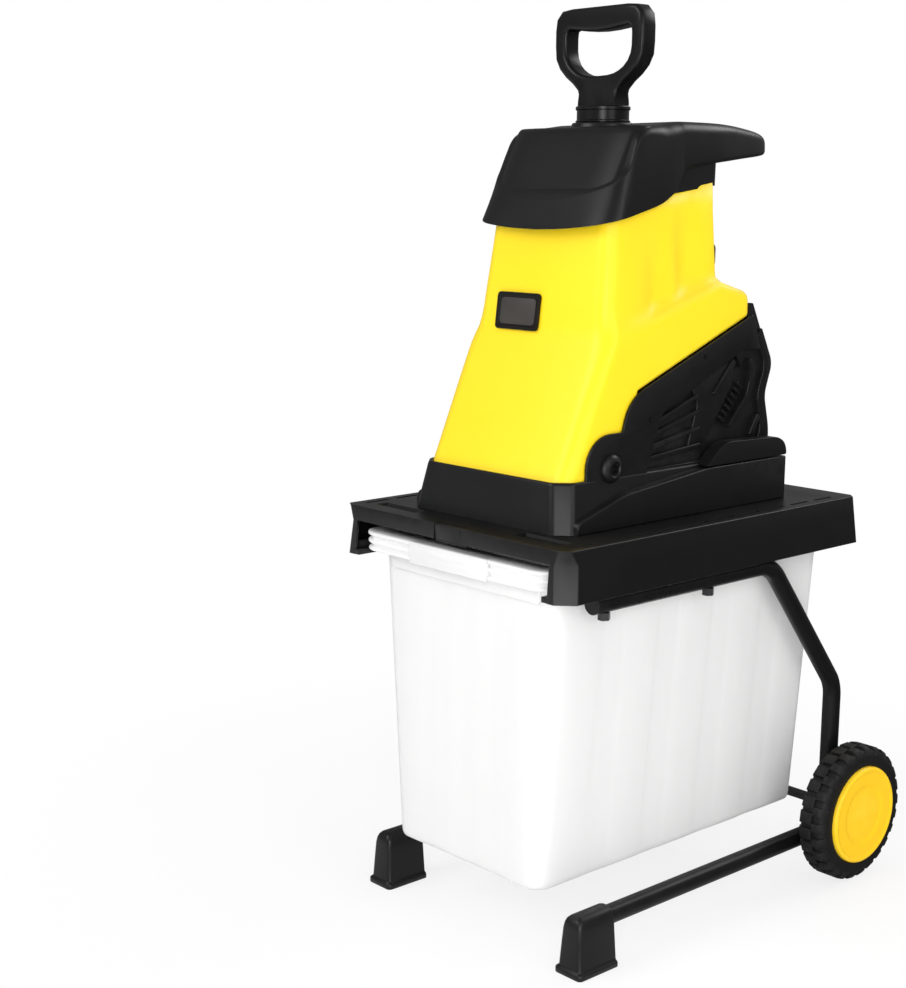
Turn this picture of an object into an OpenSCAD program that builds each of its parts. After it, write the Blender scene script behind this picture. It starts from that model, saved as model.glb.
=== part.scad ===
// Electric leaf shredder on two wheels: a tilting hopper over a knife disc, on a deck with a slide-out box.
// Millimetres, +Z up, front towards -Y, origin on the ground under the middle of the whole machine.

/* [Overall] */
// Length from the front edge of the deck to the back of the wheels
overall_l = 588; // [570:1:620]

/* [Wheels and axle] */
// Wheel diameter over the tread
wheel_d = 170; // [160:1:180]
// Width of the tread
wheel_w = 36; // [30:1:38]
// Distance over the two hub caps
track_w = 442; // [438:1:470]
// Diameter of the yellow hub cap
cap_d = 122; // [100:1:130]
// Thickness of the hub cap outside the tread
cap_proud = 5; // [3:0.5:8]
// Number of tread lugs round each shoulder
lug_count = 26; // [18:1:32]
// Height of a tread lug
lug_h = 4; // [2:0.5:6]
// Axle diameter
axle_d = 12; // [10:0.5:14]

/* [Side frames and feet] */
// Outside diameter of the frame tube
tube_d = 22; // [19:0.5:24]
// Wall of the frame tube
tube_wall = 1.5; // [1:0.1:2.5]
// Distance between the two frames, tube centre to tube centre
frame_span = 324; // [322:1:332]
// Height of the lower run of the tube
lower_tube_z = 54; // [48:1:60]
// Height of the knee where the tube turns upright
knee_z = 242; // [220:1:270]
// Foot width across the machine
foot_w = 41; // [36:1:48]
// Foot length along the machine
foot_l = 61; // [54:1:70]
// Foot height
foot_h = 68; // [66:1:76]

/* [Deck] */
// Deck width at its lower edge
deck_w = 373; // [368:1:390]
// Deck length
deck_l = 511; // [500:1:520]
// Deck height from its lower edge to its top
deck_h = 57; // [52:1:64]
// Height of the deck's lower edge above the ground
deck_z = 425; // [400:1:450]
// Wall of the deck moulding
deck_wall = 4; // [3:0.5:5]
// Draft of the deck's sides over their height
deck_draft = 5; // [2:0.5:7]
// Chamfer on the deck's upright corners
deck_corner = 19; // [12:1:22]
// Depth of the front apron above the box rim
apron_h = 17; // [14:1:20]

/* [Collection box] */
// Width of the box at its floor
box_floor_w = 242; // [220:1:256]
// Width of the box under its rim
box_top_w = 294; // [280:1:296]
// Length of the box
box_l = 462; // [440:1:464]
// Height of the box floor above the ground
box_z = 83; // [78:1:100]
// Wall of the box
box_wall = 3; // [2:0.25:4]
// How far the rim stands out from the wall
rim_out = 8; // [6:0.5:9]
// How far the rim rises above the deck's lower edge
rim_rise = 30; // [26:1:34]

/* [Base housing] */
// Half width of the side panels
panel_x = 117; // [116:0.5:120]
// Wall of the black mouldings
shell_wall = 3.5; // [2.5:0.25:4.5]
// Height of the front tub above the deck
tub_h = 54; // [48:1:58]
// Radius of the hinge ear
ear_r = 38; // [34:1:40]
// Diameter of the hinge bolt
hinge_d = 10; // [8:0.5:12]
// Outward reach of the shelf beside the panel
shelf_out = 15; // [10:1:18]

/* [Hopper] */
// Half width of the hopper skirt
skirt_x = 112.5; // [110:0.5:112.5]
// Wall of the yellow moulding
hopper_wall = 3; // [2.5:0.25:4]
// Height of the hopper's top edge above the deck
hopper_top_h = 363; // [350:1:380]
// Half width of the tower at its top edge
tower_top_x = 91; // [86:0.5:94]
// Corner radius of the tower
tower_r = 18; // [12:1:24]

/* [Hood and plunger] */
// Height of the hood's crown above the hopper's top edge
hood_h = 68; // [64:1:76]
// Diameter of the feed opening
feed_d = 58; // [54:1:60]
// Width of the D grip
grip_w = 135; // [125:1:140]
// Height of the D grip over the collar
grip_h = 108; // [100:1:118]
// Thickness of the D grip
grip_t = 24; // [20:1:28]
// Diameter of the plunger's collar
collar_d = 62; // [62:1:66]
// Diameter of the plunger's shaft
plunger_d = 50; // [46:1:52]
// Reach of the plunger below its seat
plunger_l = 120; // [90:1:140]

/* [Cutter and motor] */
// Diameter of the knife disc
disc_d = 184; // [170:1:190]
// Thickness of the knife disc
disc_t = 8; // [6:0.5:10]
// Tilt of the cutter's axis towards the front, in degrees
cutter_tilt = 21.5; // [21:0.25:22]
// Diameter of the motor's stator
stator_d = 96; // [88:1:100]
// Length of the motor's stator
stator_l = 56; // [48:1:60]
// Diameter of the rotor shaft
shaft_d = 15; // [12:0.5:16]
// Outside diameter of a bearing
bearing_d = 35; // [32:0.5:38]

/* [Hidden] */

$fn = 48;
black = [0.10, 0.10, 0.11];
yellow = [0.98, 0.82, 0.10];
// Overrun of every cut past the face it leaves
cut = 1;
// Radial clearance of a turning or sliding fit
run_gap = 0.05;
// Gap between faces that meet within one body
seat_gap = 0.1;
// Gap between faces that move past each other
move_gap = 0.5;
// Gap along the parting line of hopper and base
part_gap = 1.5;

// Places along the machine, measured from the front edge of the deck
deck_front = -overall_l / 2;
deck_rear = deck_front + deck_l;
deck_top = deck_z + deck_h;
axle_y = overall_l / 2 - wheel_d / 2;
axle_z = wheel_d / 2;
frame_x = frame_span / 2;

// Side frame
upper_tube_z = deck_z - tube_d / 2;
frame_front_setback = 56;
slope_start_setback = 366;
bend_r = 45;
tight_bend_r = 24;
bend_lap = 1;
bend_step = 0.25;
bolt_setbacks = [84, 255];
bolt_d = 8;
bolt_head_d = 14;
bolt_head_h = 8;
bolt_reach = 10;

// Feet
foot_front_setback = 37;
foot_flange_h = 7;
foot_flange = 3;
foot_taper = 4;
foot_corner_r = 5;
socket_end_wall = 13;

// Wheels
wheel_out_x = track_w / 2 - cap_proud;
wheel_in_x = wheel_out_x - wheel_w;
shoulder = 5;
cap_recess = 6;
cap_dish_d = 74;
cap_dish = 1.5;
lug_share = 0.55;
groove_reach = 13;
nut_d = 22;
nut_h = 8;
boss_d = 34;
washer_d = 26;

// Deck
deck_plate = 4;
rail_gap = 3.5;
rail_x = box_top_w / 2 + rail_gap;
rail_lip = 7;
rail_block_in = 2.5;
rail_block_x = frame_x - rail_block_in;
rail_block_h = 15;
rail_setback = deck_wall + deck_draft;
rear_corner = 8;
apron_gap = 3;
rim_x = box_top_w / 2 + rim_out;
apron_half = rim_x + apron_gap;
chute_half = 96;
chute_front_setback = 82;
chute_l = 105;
slot_l = 34;
slot_w = 5;
slot_depth = 2;
slot_pitch = 46;
slot_inset = 17;
lock_w = 43;
lock_t = 9;
lock_gap = 0.3;
lock_flange = 4;
lock_flange_t = 3.5;
lock_flange_drop = 12;
lock_flange_h = 10;

// Collection box
// The box goes back until the deck's rear wall or the axle stops it
box_back_gap = 7;
axle_gap = 5;
box_rear = min(deck_rear - deck_wall - box_back_gap - rim_out, axle_y - axle_d / 2 - axle_gap);
box_front = box_rear - box_l;
box_top = deck_z + rim_rise;
box_corner_r = 22;
rim_rib = 4;
rim_groove = 4;
rim_ribs = 3;
rim_lift = 0.5;
front_lip_h = 20;
front_lip = 4;
flute_depth = 3;
flute_w = 46;
flute_pitch = 92;
flute_count = 4;

// Hinge and parting line, measured from the deck's front edge and top
hinge_setback = 138;
hinge_y = deck_front + hinge_setback;
hinge_rise = 64;
hinge_z = deck_top + hinge_rise;
part_slope = tan(cutter_tilt);
part_y0_setback = 183;
part_y0 = deck_front + part_y0_setback;
part_z0_rise = 144;
part_z0 = deck_top + part_z0_rise;
part_y1_setback = 376;
part_y1 = deck_front + part_y1_setback;
function part_z(y) = part_z0 + part_slope * (y - part_y0);
ear_side_reach = 23;
ear_side_y = hinge_y + ear_side_reach;
ear_lean = 10;
hinge_head_d = 32;
hinge_head_h = 7;
hinge_dome_r = 34;
hinge_reach = 6;
hex_d = 12;
hex_depth = 4;
ear_top_rise = 50;
ear_top_z = hinge_z + ear_top_rise;

// Front tub of the base
tub_front_setback = 55;
tub_front = deck_front + tub_front_setback;
tub_rear_setback = 429;
tub_rear = deck_front + tub_rear_setback;
tub_lean = 9;
tub_flare = 10;
tub_corner = [12, 20];
tub_top_corner = [7, 10];
tub_top = deck_top + tub_h;

// Window in the side panel that shows the louvres
window_front_setback = 194;
window_front_y = deck_front + window_front_setback;
window_top_setback = 219;
window_top_y = deck_front + window_top_setback;
window_top_rise = 117;
window_top_z = deck_top + window_top_rise;
window_rear_setback = 362;
window_rear_y = deck_front + window_rear_setback;
window_rear_rise = 181;
window_rear_z = deck_top + window_rear_rise;
panel_rear_setback = 391;
panel_rear_y = deck_front + panel_rear_setback;
panel_rear_rise = 178;
panel_rear_z = deck_top + panel_rear_rise;
panel_drop = 12;

// Shelf and rear block beside the panels
shelf_front_setback = 73;
shelf_nose_h = 14;
shelf_rise_setback = 146;
shelf_rise_h = 36;
shelf_back_h = 50;
block_setback = 282;
block_h = 78;
block_rear_h = 62;
block_nose = 26;
block_r = 9;
groove_h = 51;
groove_w = 3;
groove_depth = 2;

// Motor cover
cover_gap = 1;
cover_x = panel_x - shell_wall - cover_gap;
cover_wall = 3;
cover_lap = 12;
cover_front_y = window_front_y - cover_lap;
cover_drop = 4;
cover_nick = 24;
cover_tip_h = 234;
cover_bulge_h = 164;
cover_waist_h = 130;
cover_hip_h = 87;
cover_tip_setback = 383;
cover_bulge_setback = 421;
cover_waist_setback = 408;
cover_hip_setback = 418;
relief_w = 8;
relief_l = 14;
fin_count = 5;
fin_start_share = 0.2;
fin_inset = 8;
fin_slot = 7;
fin_bar = 4;
fin_rise = 3.5;
fin_l = 88;
fin_tilt_max = 21;
strut_count = 2;
strut_w = 8;
strut_l = 50;
strut_setback = 314;
strut_y = deck_front + strut_setback;
strut_rise = 124;
strut_z = deck_top + strut_rise;
strut_pitch = 38;
strut_step = 34;
strut_tilt = 52;
vent_count = 6;
vent_pitch = 7;
vent_w = 3;
vent_l = 22;
screw_proud = 0.8;
screw_d = 6;
screw_spots = [[292, 176], [201, 112]];
screw_places = [for (s = screw_spots) [deck_front + s.x, deck_top + s.y]];
rear_slot_count = 6;
rear_slot_w = 120;
rear_slot_h = 4;
rear_slot_pitch = 9;

// Cutter, measured along the shaft from the top of the disc
disc_setback = 294;
disc_y = deck_front + disc_setback;
disc_drop = 9.5;
disc_z = part_z(disc_y) - disc_drop;
blade_l = 68;
blade_in = 20;
blade_w = 34;
blade_t = 5;
blade_y = 14;
blade_bevel = 10;
chip_slot = 12;
blade_screw_d = 6;
blade_screw_pitch = 40;
blade_screw_head = 3;
blade_screw_head_d = 11;
plate_drop = 22;
plate_gap = 0.3;
plate_t = 4;
plate_half = cover_x - cover_wall - plate_gap;
plate_l = 190;
stator_drop = 44;
stator_bore_gap = 0.6;
armature_d = 56;
end_shield_t = 6;
bearing_w = 11;
bearing_shelf = 3;
cup_wall = 5;
fan_d = 84;
fan_t = 12;
fan_gap = 3;
fan_plate = 2.5;
shaft_tail = 4;
fan_hub_d = 26;
fan_blades = 9;
disc_bolt_d = 8;
disc_bolt_l = 22;
disc_bolt_head_d = 22;
disc_bolt_head_h = 6;
shield_leg_d = 9;

// Hopper
hopper_lap = 6;
hopper_bottom = tub_top - hopper_lap;
hopper_top = deck_top + hopper_top_h;
kink_rise = 203;
kink_z = deck_top + kink_rise;
kink_setback = 137;
kink_y = deck_front + kink_setback;
front_bottom_setback = 69.5;
front_bottom_y = deck_front + front_bottom_setback;
front_top_setback = 158;
front_top_y = deck_front + front_top_setback;
tower_rear_setback = 332;
tower_rear_y = deck_front + tower_rear_setback;
tower_kink_x = 105;
ledge_rear_setback = 378;
ledge_rear_y = deck_front + ledge_rear_setback;
ledge_peak_setback = 322;
ledge_peak_y = deck_front + ledge_peak_setback;
ledge_peak_rise = 256;
ledge_peak_z = deck_top + ledge_peak_rise;
ledge_rear_rise = 245;
ledge_rear_z = deck_top + ledge_rear_rise;
ledge_drop = 5;
ledge_round = 8;
crease_front_setback = 150;
crease_front_y = deck_front + crease_front_setback;
crease_front_rise = 202;
crease_front_z = deck_top + crease_front_rise;
skirt_round = 7;
// The tower stands this far proud of the skirt at their shared bend
tower_step = 0.6;
lug_r = 22;
lug_root_share = 0.7;
front_slope = (kink_y - front_bottom_y) / (kink_z - hopper_bottom);
tower_slope = (front_top_y - kink_y + tower_step) / (hopper_top - kink_z);

// Badge plate on the hopper's front
badge_w = 68;
badge_h = 42;
badge_t = 3;
badge_x = -31;
badge_up = 23;
badge_r = 5;

// Hood
hood_top = hopper_top + hood_h;
feed_setback = 238;
feed_y = deck_front + feed_setback;
hood_wall = 3.5;
hood_lap = 46;
rim_front_setback = 132;
rim_front = deck_front + rim_front_setback;
band_drop = 7;
band_top = hopper_top - band_drop;
band_lean = 17;
band_x = 108;
band_top_x = 103;
// The hood's front corners are rounder than the tower's, most of all along the band
band_r = 44;
band_steps = 8;
dome_r = 28;
step_in = 2;
dome_top_x = 90;
dome_front_top_setback = 188;
dome_front_top = deck_front + dome_front_top_setback;
dome_edge = 8;
hood_rear_out = 3;
hood_rear = tower_rear_y + hood_rear_out;
// Handle stations from rear to front: setback, half width, underside and top over the hopper's top edge
handle_stations = [[459, 56, 43, 54], [451, 66, 41, 64], [394, 80, 37, 70], [332, 93, 30, 73],
    [254, 98, 15, 72], [190, 101, -5, 58]];
handle_round = 12;
handle_round_share = 0.4;
// Lower edge of the hood from front to rear: setback and height over the hopper's top edge
hood_edge = [[110, -39], [164, -31], [194, -26], [231, -17], [250, -5], [420, -5]];
dome_rise = 60;
dome_wall = 8;
dome_lap = 2;
socket_gap = 0.6;
socket_top_gap = 0.2;
seat_d = 70;
seat_rise = 4;

// Plunger
paddle_h = 8;
paddle_gap = 2;
collar_h = 18;
plug_h = 10;
shaft_rib = 8;
spigot_d = 24;
spigot_l = 12;
grip_bar = 18;
grip_top_bar = 23;
grip_sill = 33;
grip_round = 14;
hole_round = 9;
// Right half of the grip's outline as shares of half its width and of its height
grip_side_shares = [[0.42, 0], [0.44, 0.10], [0.58, 0.20], [0.77, 0.29], [1, 0.50], [1, 1]];
// Layers of the grip: share of its thickness, and share of the edge step by which the layer draws in
grip_edge = 4;
grip_layer_shares = [[1, 1], [0.78, 0.35], [0.5, 0]];

// Switch box and inlet on the hopper's rear face
switch_x = 46;
switch_w = 58;
switch_drop = 76;
switch_z = hopper_top - switch_drop;
switch_h = 24;
switch_root_h = 56;
switch_t = 22;
button_d = 16;
button_l = 9;
button_proud = 4;
button_travel = 3;
button_pitch = 26;
inlet_x = -22;
inlet_w = 46;
inlet_h = 34;
inlet_t = 20;
inlet_wall = 3;
inlet_depth = 16;
pin_w = 6;
pin_t = 1.6;
pin_l = 12;
pin_pitch = 16;

// Locking knob on the rear ledge
ledge_tilt = atan((ledge_peak_z - ledge_rear_z) / (ledge_rear_y - ledge_round - ledge_peak_y));
knob_setback = 356;
knob_y = deck_front + knob_setback;
knob_z = ledge_peak_z - (knob_y - ledge_peak_y) * tan(ledge_tilt);
knob_d = 36;
knob_h = 18;
knob_head_h = 12;
knob_lobes = 6;
knob_lobe_d = 12;
knob_stem_d = 16;
knob_stud_d = 8;
knob_collar_d = 13;
knob_collar_h = 3;
knob_lift = 0.3;

// Values shared by two or more pieces
foot_front = deck_front + foot_front_setback;
foot_rear = foot_front + foot_l;
nut_x = wheel_out_x - cap_recess - nut_h - seat_gap;
boss_face_x = nut_x - move_gap;
washer_x = frame_x + tube_d / 2;
washer_t = wheel_in_x - washer_x - move_gap;
web_depth = 12;
rim_depth = 20;
nut_pocket_gap = 3;
nut_pocket_d = nut_d + 2 * nut_pocket_gap;
lock_back = deck_front + deck_draft + lock_t;
rim_bottom = deck_z + rail_lip + rim_lift;
flute_top = rim_bottom - front_lip_h - rim_out;
plate_z = -plate_drop - plate_t;
stator_z = -stator_drop - stator_l;
shield_z = stator_z - end_shield_t;
cup_h = bearing_w + bearing_shelf;
fan_z = stator_z - cup_h - fan_gap - fan_t;
flange_z = 11;
flange_t = 3;
flange_front = 80;
flange_rear = 64;
chute_wall = 2.5;
chute_gap = 1;
chute_d = feed_d + 2 * chute_gap;

// Helpers

// Pulls a side view drawn as (Y, Z) from one X to another
module pull_x(from_x, to_x) {
    translate([from_x, 0, 0]) rotate([90, 0, 90]) linear_extrude(height = to_x - from_x) children();
}

// Pulls a front view drawn as (X, Z) from one Y to another
module pull_y(from_y, to_y) {
    translate([0, to_y, 0]) rotate([90, 0, 0]) linear_extrude(height = to_y - from_y) children();
}

module both_sides() {
    children();
    mirror([1, 0, 0]) children();
}

module along_x(x, y, z) {
    translate([x, y, z]) rotate([0, 90, 0]) children();
}

// Rounds the corners of a flat outline
module soften(r) {
    offset(r = r) offset(delta = -r) children();
}

// Places children in the cutter's own frame, with +Z up the shaft
module on_shaft() {
    translate([0, disc_y, disc_z]) rotate([cutter_tilt, 0, 0]) children();
}

// Rounded rectangle in plan, half width hx, from y0 to y1
function round_rect(hx, y0, y1, r, z, front_r = undef, steps = 4) =
    let (f = is_undef(front_r) ? r : front_r) [
        for (c = [[hx - f, y0 + f, -90, f], [hx - r, y1 - r, 0, r],
            [r - hx, y1 - r, 90, r], [f - hx, y0 + f, 180, f]])
            for (i = [0 : steps])
                [c.x + c[3] * cos(c.z + 90 * i / steps), c.y + c[3] * sin(c.z + 90 * i / steps), z]];

// Rectangle in plan with its front and rear corners cut
function cut_rect(hx, y0, y1, front, rear, z) = [
    [front.x - hx, y0, z], [hx - front.x, y0, z], [hx, y0 + front.y, z], [hx, y1 - rear.y, z],
    [hx - rear.x, y1, z], [rear.x - hx, y1, z], [-hx, y1 - rear.y, z], [-hx, y0 + front.y, z]];

// Skin over a stack of rings that all have as many points
module loft(rings) {
    n = len(rings[0]);
    m = len(rings);
    polyhedron(
        points = [for (r = rings) each r],
        faces = concat(
            [[for (i = [0 : n - 1]) i]],
            [[for (i = [0 : n - 1]) m * n - 1 - i]],
            [for (j = [0 : m - 2], i = [0 : n - 1])
                [j * n + i, (j + 1) * n + i, (j + 1) * n + (i + 1) % n]],
            [for (j = [0 : m - 2], i = [0 : n - 1])
                [j * n + i, (j + 1) * n + (i + 1) % n, j * n + (i + 1) % n]]),
        convexity = 6);
}

// Outline drawn in by d along every edge, for an outline that runs anticlockwise
function inward(a, b) = [a.y - b.y, b.x - a.x] / norm(b - a);
function drawn_in(p, d) = let (n = len(p)) [for (i = [0 : n - 1])
    let (u = inward(p[(i + n - 1) % n], p[i]), v = inward(p[i], p[(i + 1) % n]))
        p[i] + d * (u + v) / (1 + u * v)];

// Round tube along a flat route with a bend of its own radius at each inner point;
// the straight runs lap a little over bends that are a hair thinner
function heading(a, b) = atan2(b.y - a.y, b.x - a.x);
function turn_at(p, i) = let (t = heading(p[i], p[i + 1]) - heading(p[i - 1], p[i]))
    t > 180 ? t - 360 : t < -180 ? t + 360 : t;
function is_inner(p, i) = i > 0 && i < len(p) - 1;
function trim_at(p, radii, i) = is_inner(p, i) ? radii[i - 1] * tan(abs(turn_at(p, i)) / 2) : 0;
function run_trim(p, radii, i) = is_inner(p, i) ? trim_at(p, radii, i) - bend_lap : 0;
module tube_section(d, wall) {
    difference() {
        circle(d = d);
        circle(d = d - 2 * wall);
    }
}
module bent_tube(p, radii, d, wall) {
    for (i = [0 : len(p) - 2]) {
        run = norm(p[i + 1] - p[i]) - run_trim(p, radii, i) - run_trim(p, radii, i + 1);
        translate(p[i]) rotate(heading(p[i], p[i + 1])) translate([run_trim(p, radii, i), 0, 0])
            rotate([0, 90, 0]) linear_extrude(height = run) tube_section(d, wall);
    }
    for (i = [1 : len(p) - 2]) {
        turn = turn_at(p, i);
        r = radii[i - 1];
        translate(p[i]) rotate(heading(p[i - 1], p[i])) translate([-trim_at(p, radii, i), sign(turn) * r, 0])
            rotate(turn > 0 ? -90 : 90 - abs(turn)) rotate_extrude(angle = abs(turn))
                translate([r, 0]) tube_section(d - 2 * bend_step, wall - 2 * bend_step);
    }
}

// Side frames, feet, axle and wheels

frame_route = [
    [deck_front + frame_front_setback, upper_tube_z],
    [deck_front + slope_start_setback, upper_tube_z],
    [axle_y, knee_z],
    [axle_y, lower_tube_z],
    [foot_front + socket_end_wall + seat_gap, lower_tube_z]];
frame_radii = [bend_r, bend_r, tight_bend_r];

module side_frame() {
    color(black) difference() {
        translate([frame_x, 0, 0]) rotate([90, 0, 90]) bent_tube(frame_route, frame_radii, tube_d, tube_wall);
        along_x(frame_x - tube_d, axle_y, axle_z) cylinder(d = axle_d + 2 * run_gap, h = 2 * tube_d);
        for (s = bolt_setbacks)
            translate([frame_x, deck_front + s, upper_tube_z - tube_d])
                cylinder(d = bolt_d + 2 * run_gap, h = 2 * tube_d);
    }
}
module side_frame_right() { side_frame(); }
module side_frame_left() { mirror([1, 0, 0]) side_frame(); }

// Tapered foot with a flange round its sole and a blind socket for the tube
function foot_ring(inset, z) =
    round_rect(foot_w / 2 - inset, foot_front + inset, foot_rear - inset, foot_corner_r, z);
module foot() {
    color(black) difference() {
        translate([frame_x, 0, 0]) loft([
            foot_ring(0, 0),
            foot_ring(0, foot_flange_h),
            foot_ring(foot_flange, foot_flange_h),
            foot_ring(foot_flange + foot_taper, foot_h)]);
        translate([frame_x, foot_front + socket_end_wall, lower_tube_z]) rotate([-90, 0, 0])
            cylinder(d = tube_d + 2 * seat_gap, h = foot_l);
    }
}
module foot_right() { foot(); }
module foot_left() { mirror([1, 0, 0]) foot(); }

// The axle ends inside the wheels, where a nut holds each wheel on
module axle() {
    color("silver") along_x(-nut_x - nut_h, axle_y, axle_z) cylinder(d = axle_d, h = 2 * (nut_x + nut_h));
}
module axle_nuts() {
    color("silver") both_sides() along_x(nut_x, axle_y, axle_z) difference() {
        cylinder(d = nut_d, h = nut_h, $fn = 6);
        translate([0, 0, -cut]) cylinder(d = axle_d + 2 * seat_gap, h = nut_h + 2 * cut);
    }
}
module axle_washers() {
    color("silver") both_sides() along_x(washer_x, axle_y, axle_z) difference() {
        cylinder(d = washer_d, h = washer_t);
        translate([0, 0, -cut]) cylinder(d = axle_d + 2 * seat_gap, h = washer_t + 2 * cut);
    }
}

// Wheel turned about its axle: profile in (radius, distance from the inner face)
module wheel() {
    groove_w = PI * wheel_d * (1 - lug_share) / lug_count;
    color(black) along_x(wheel_in_x, axle_y, axle_z) difference() {
        rotate_extrude() difference() {
            polygon([[0, 0], [wheel_d / 2 - shoulder, 0], [wheel_d / 2, shoulder],
                [wheel_d / 2, wheel_w - shoulder], [wheel_d / 2 - shoulder, wheel_w], [0, wheel_w]]);
            translate([boss_d / 2, -cut]) square([wheel_d / 2 - rim_depth - boss_d / 2, web_depth + cut]);
            translate([-cut, wheel_w - cap_recess]) square([cap_d / 2 + move_gap + cut, cap_recess + cut]);
            translate([-cut, boss_face_x - wheel_in_x]) square([nut_pocket_d / 2 + cut, wheel_w]);
            translate([-cut, -cut]) square([axle_d / 2 + run_gap + cut, wheel_w + 2 * cut]);
        }
        for (i = [0 : lug_count - 1], side = [0, 1])
            rotate(360 * (i + side / 2) / lug_count)
                translate([wheel_d / 2 - lug_h, -groove_w / 2, side == 0 ? -cut : wheel_w - groove_reach])
                    cube([lug_h + cut, groove_w, groove_reach + cut]);
    }
}
module wheel_right() { wheel(); }
module wheel_left() { mirror([1, 0, 0]) wheel(); }

// Hub cap: a shallow disc with a rolled edge and a dished middle
module hub_cap() {
    cap_t = cap_recess - seat_gap + cap_proud;
    color(yellow) along_x(wheel_out_x - cap_recess + seat_gap, axle_y, axle_z) rotate_extrude() difference() {
        union() {
            square([cap_d / 2, cap_t - cap_proud / 2]);
            square([cap_d / 2 - cap_proud / 2, cap_t]);
            translate([cap_d / 2 - cap_proud / 2, cap_t - cap_proud / 2]) circle(d = cap_proud);
        }
        translate([-cut, cap_t - cap_dish]) square([cap_dish_d / 2 + cut, cap_dish + cut]);
        translate([-cap_d, -cut]) square([cap_d, cap_t + 2 * cut]);
    }
}
module hub_cap_right() { hub_cap(); }
module hub_cap_left() { mirror([1, 0, 0]) hub_cap(); }

// Deck, its bolts and the lock slide

function deck_ring(inset, z) = let (lean = deck_draft * (z - deck_z) / deck_h + inset)
    cut_rect(deck_w / 2 - lean, deck_front + lean, deck_rear - lean,
        [deck_corner, deck_corner], [rear_corner, rear_corner], z);
module deck() {
    slots = floor((deck_l - 2 * slot_inset - 2 * deck_draft) / slot_pitch);
    slot_start = deck_front + (deck_l - slots * slot_pitch) / 2;
    slot_x = deck_w / 2 - deck_draft - slot_inset;
    color(black) difference() {
        union() {
            difference() {
                loft([deck_ring(0, deck_z), deck_ring(0, deck_top)]);
                loft([deck_ring(deck_wall, deck_z - cut), deck_ring(deck_wall, deck_top - deck_plate)]);
            }
            both_sides() {
                translate([rail_x, deck_front + rail_setback, deck_z])
                    cube([deck_w / 2 - deck_wall / 2 - rail_x, deck_l - 2 * rail_setback, rail_lip]);
                translate([rail_block_x, deck_front + rail_setback, deck_z])
                    cube([deck_w / 2 - deck_wall - rail_block_x, deck_l - 2 * rail_setback, rail_block_h]);
            }
        }
        // Cut-out that shows the box rim, and the notch of the lock slide
        translate([-apron_half, deck_front - cut, deck_z - cut])
            cube([2 * apron_half, rail_setback + cut, deck_h - apron_h + cut]);
        translate([-lock_w / 2 - lock_gap, deck_front - cut, deck_top - apron_h - cut])
            cube([lock_w + 2 * lock_gap, lock_back + lock_gap - deck_front + cut, apron_h + 2 * cut]);
        // Way through for the shreds
        translate([-chute_half, deck_front + chute_front_setback, deck_top - deck_plate - cut])
            cube([2 * chute_half, chute_l, deck_plate + 2 * cut]);
        // Row of shallow slots along each side
        for (i = [0 : slots - 1]) both_sides()
            translate([slot_x, slot_start + i * slot_pitch, deck_top - slot_depth])
                cube([slot_w, slot_l, slot_depth + cut]);
        for (s = bolt_setbacks) both_sides()
            translate([frame_x, deck_front + s, deck_z - cut])
                cylinder(d = bolt_d + 2 * seat_gap, h = bolt_reach + 2 * cut);
    }
}

module frame_bolts() {
    color("dimgray") both_sides() for (s = bolt_setbacks)
        translate([frame_x, deck_front + s, upper_tube_z - tube_d / 2 - bolt_head_h]) {
            cylinder(d = bolt_head_d, h = bolt_head_h, $fn = 6);
            cylinder(d = bolt_d, h = bolt_head_h + tube_d + bolt_reach);
        }
}

// Slide in the apron's notch, with a wider flange behind the apron that keeps it there
module lock_slide() {
    flange_low = deck_top - lock_flange_drop - lock_flange_h;
    color(black) {
        translate([-lock_w / 2, deck_front + deck_draft, deck_top - apron_h])
            cube([lock_w, lock_t, apron_h]);
        translate([-lock_w / 2 - lock_flange, lock_back - lock_flange_t, flange_low])
            cube([lock_w + 2 * lock_flange, lock_flange_t, lock_flange_h]);
    }
}

// Collection box

// Plan of the box with stepped flutes along both sides
function flutes(hx, depth) = [for (k = [0 : flute_count - 1])
    let (y = (box_front + box_rear) / 2 + (k - (flute_count - 1) / 2) * flute_pitch)
        each [[hx, y - flute_w / 2], [hx - depth, y - flute_w / 2 + flute_depth],
            [hx - depth, y + flute_w / 2 - flute_depth], [hx, y + flute_w / 2]]];
function box_ring(hx, inset, depth, z) = let (
    r = box_corner_r - inset,
    x = hx - inset,
    y0 = box_front + inset,
    y1 = box_rear - inset,
    side = flutes(x, depth),
    n = len(side),
    steps = 5,
    quarter = function(cx, cy, a) [for (i = [0 : steps])
        [cx + r * cos(a + 90 * i / steps), cy + r * sin(a + 90 * i / steps), z]])
    concat(quarter(x - r, y0 + r, -90), [for (p = side) [p.x, p.y, z]],
        quarter(x - r, y1 - r, 0), quarter(r - x, y1 - r, 90),
        [for (i = [n - 1 : -1 : 0]) [-side[i].x, side[i].y, z]], quarter(r - x, y0 + r, 180));
function box_half(z) = box_floor_w / 2 + (box_top_w - box_floor_w) / 2 * (z - box_z) / (box_top - box_z);
module box_body(inset, floor_z, top_z) {
    stations = [[floor_z, flute_depth], [flute_top - flute_pitch / 2, flute_depth],
        [flute_top, 0], [top_z, 0]];
    loft([for (s = stations) box_ring(box_half(s[0]), inset, s[1], s[0])]);
}
module rim_plate(out, z, h) {
    translate([0, 0, z]) linear_extrude(height = h)
        polygon([for (p = round_rect(box_top_w / 2 + out, box_front - out, box_rear + out, box_corner_r, 0))
            [p.x, p.y]]);
}
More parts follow.
